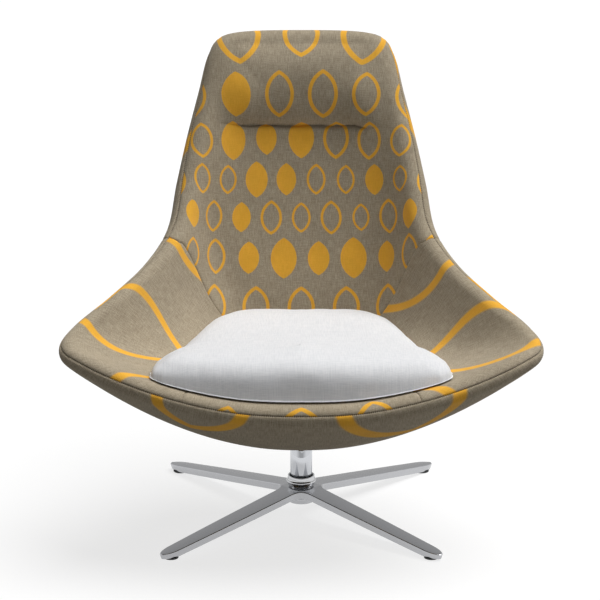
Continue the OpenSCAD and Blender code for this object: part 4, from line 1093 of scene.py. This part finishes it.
class CHAIR_OT_stage(Operator):
    """Make the pale floor, the studio lights, the world and the camera"""
    bl_idname = "chair.stage"
    bl_label = "Stage"

    def execute(self, context):
        scene = context.scene
        scene.view_settings.view_transform = "Standard"
        self.floor()
        self.world(scene)
        # A broad bank of diffusers overhead, right of the middle, and a weak one in front that
        # lifts the shades
        self.lamp(scene, "overhead", (0.36, 0.10, 0.93), 50, 3.3)
        self.lamp(scene, "front_fill", (0.10, -0.72, 0.69), 60, 0.22)
        self.camera(scene)
        return {"FINISHED"}

    @staticmethod
    def floor():
        """A wide grey floor that keeps soft shadows, and glows up to white for the camera, for
        reflections and through glass."""
        mesh = bpy.data.meshes.new("floor")
        size = 14.0
        places = [(-size, -size, 0), (size, -size, 0), (size, size, 0), (-size, size, 0)]
        mesh.from_pydata(places, [], [(0, 1, 2, 3)])
        ground = bpy.data.objects.new("floor", mesh)
        bpy.context.scene.collection.objects.link(ground)
        material, tree, shader = new_material("painted_floor_white")
        path = tree.nodes.new("ShaderNodeLightPath")
        seen = add(tree, "Math", [path.outputs["Is Camera Ray"], path.outputs["Is Glossy Ray"]])
        seen = add(tree, "Math", [seen, path.outputs["Is Transmission Ray"]])
        lift = add(tree, "Math", [seen, 0.75], operation="MULTIPLY")
        wire(tree, shader, {
            "Base Color": linear("#8c8c8c"), "Roughness": 0.8, "Specular IOR Level": 0.1,
            "Emission Strength": lift, "Emission Color": (1, 1, 1, 1)})
        mesh.materials.append(material)

    @staticmethod
    def world(scene):
        """A studio surround: white for the camera, dim as a light. Reflections see white walls on
        both sides and darker ones ahead, behind and above, which draws the metal's edges."""
        world = bpy.data.worlds.new("studio")
        scene.world = world
        world.use_nodes = True
        tree = world.node_tree
        tree.nodes.clear()
        path = tree.nodes.new("ShaderNodeLightPath")
        towards = add(tree, "TexCoord", out=0)
        x = add(tree, "SeparateXYZ", [towards])
        x = add(tree, "Math", [x], operation="ABSOLUTE")
        z = add(tree, "SeparateXYZ", [towards], 2)
        walls = add(tree, "MapRange", [x, 0.25, 0.8, 0.50, 1.0])
        above = add(tree, "MapRange", [z, 0.3, 0.9, 1.0, 0.6])
        mirrored = add(tree, "Math", [walls, above], operation="MULTIPLY")
        mirrored = add(tree, "Math", [mirrored, path.outputs["Is Glossy Ray"]],
                       operation="MULTIPLY")
        plain = add(tree, "Math", [path.outputs["Is Camera Ray"],
                                   path.outputs["Is Transmission Ray"]])
        light = add(tree, "Math", [path.outputs["Is Diffuse Ray"], 0.03, plain],
                    operation="MULTIPLY_ADD")
        strength = add(tree, "Math", [mirrored, light])
        sky = add(tree, "Background", {"Color": (1, 1, 1, 1), "Strength": strength})
        output = tree.nodes.new("ShaderNodeOutputWorld")
        tree.links.new(sky, output.inputs["Surface"])

    @staticmethod
    def lamp(scene, name, towards, spread_degrees, energy):
        """A far soft light in a direction, as wide across as an angle."""
        light = bpy.data.lights.new(name, "SUN")
        light.angle = math.radians(spread_degrees)
        light.energy = energy
        lamp = bpy.data.objects.new(name, light)
        lamp.rotation_euler = Vector(towards).to_track_quat("Z", "Y").to_euler()
        scene.collection.objects.link(lamp)

    @staticmethod
    def camera(scene):
        """The photograph's camera: 6 m away, 2.2 m high, turned down by 16.3 degrees. Its focal
        length is in pixels of a picture 600 wide."""
        focal_pixels, picture_width, sensor, down = 3187.0, 600, 36.0, 16.292
        data = bpy.data.cameras.new("camera")
        data.sensor_width = sensor
        data.lens = focal_pixels / picture_width * sensor
        camera = bpy.data.objects.new("camera", data)
        camera.location = (-0.0024, -6.017, 2.2033)
        camera.rotation_euler = (math.radians(90 - down), 0, 0)
        scene.collection.objects.link(camera)
        scene.camera = camera


OPERATORS = (CHAIR_OT_inner_covers, CHAIR_OT_outer_cover, CHAIR_OT_cushion, CHAIR_OT_star_base,
             CHAIR_OT_column, CHAIR_OT_fittings, CHAIR_OT_stage)


class CHAIR_PT_panel(Panel):
    """Lists the chair's operators, sizes and colours"""
    bl_label = "Armchair"
    bl_idname = "CHAIR_PT_panel"
    bl_space_type = "VIEW_3D"
    bl_region_type = "UI"
    bl_category = "Armchair"

    def draw(self, context):
        for operator in OPERATORS:
            self.layout.operator(operator.bl_idname)
        for group in (context.scene.chair_sizes, context.scene.chair_colours):
            for name in group.bl_rna.properties.keys():
                if name not in ("rna_type", "name"):
                    self.layout.prop(group, name)


CLASSES = (ChairSizes, ChairColours, *OPERATORS, CHAIR_PT_panel)


def register():
    """Register the classes and attach the properties to the scene."""
    for item in CLASSES:
        bpy.utils.register_class(item)
    bpy.types.Scene.chair_sizes = PointerProperty(type=ChairSizes)
    bpy.types.Scene.chair_colours = PointerProperty(type=ChairColours)


def unregister():
    """Undo register."""
    del bpy.types.Scene.chair_colours
    del bpy.types.Scene.chair_sizes
    for item in reversed(CLASSES):
        bpy.utils.unregister_class(item)


def main():
    """Build the whole chair."""
    register()
    bpy.ops.chair.inner_covers()
    bpy.ops.chair.outer_cover()
    bpy.ops.chair.cushion()
    bpy.ops.chair.star_base()
    bpy.ops.chair.column()
    bpy.ops.chair.fittings()
    bpy.ops.chair.stage()


if __name__ == "__main__":
    main()
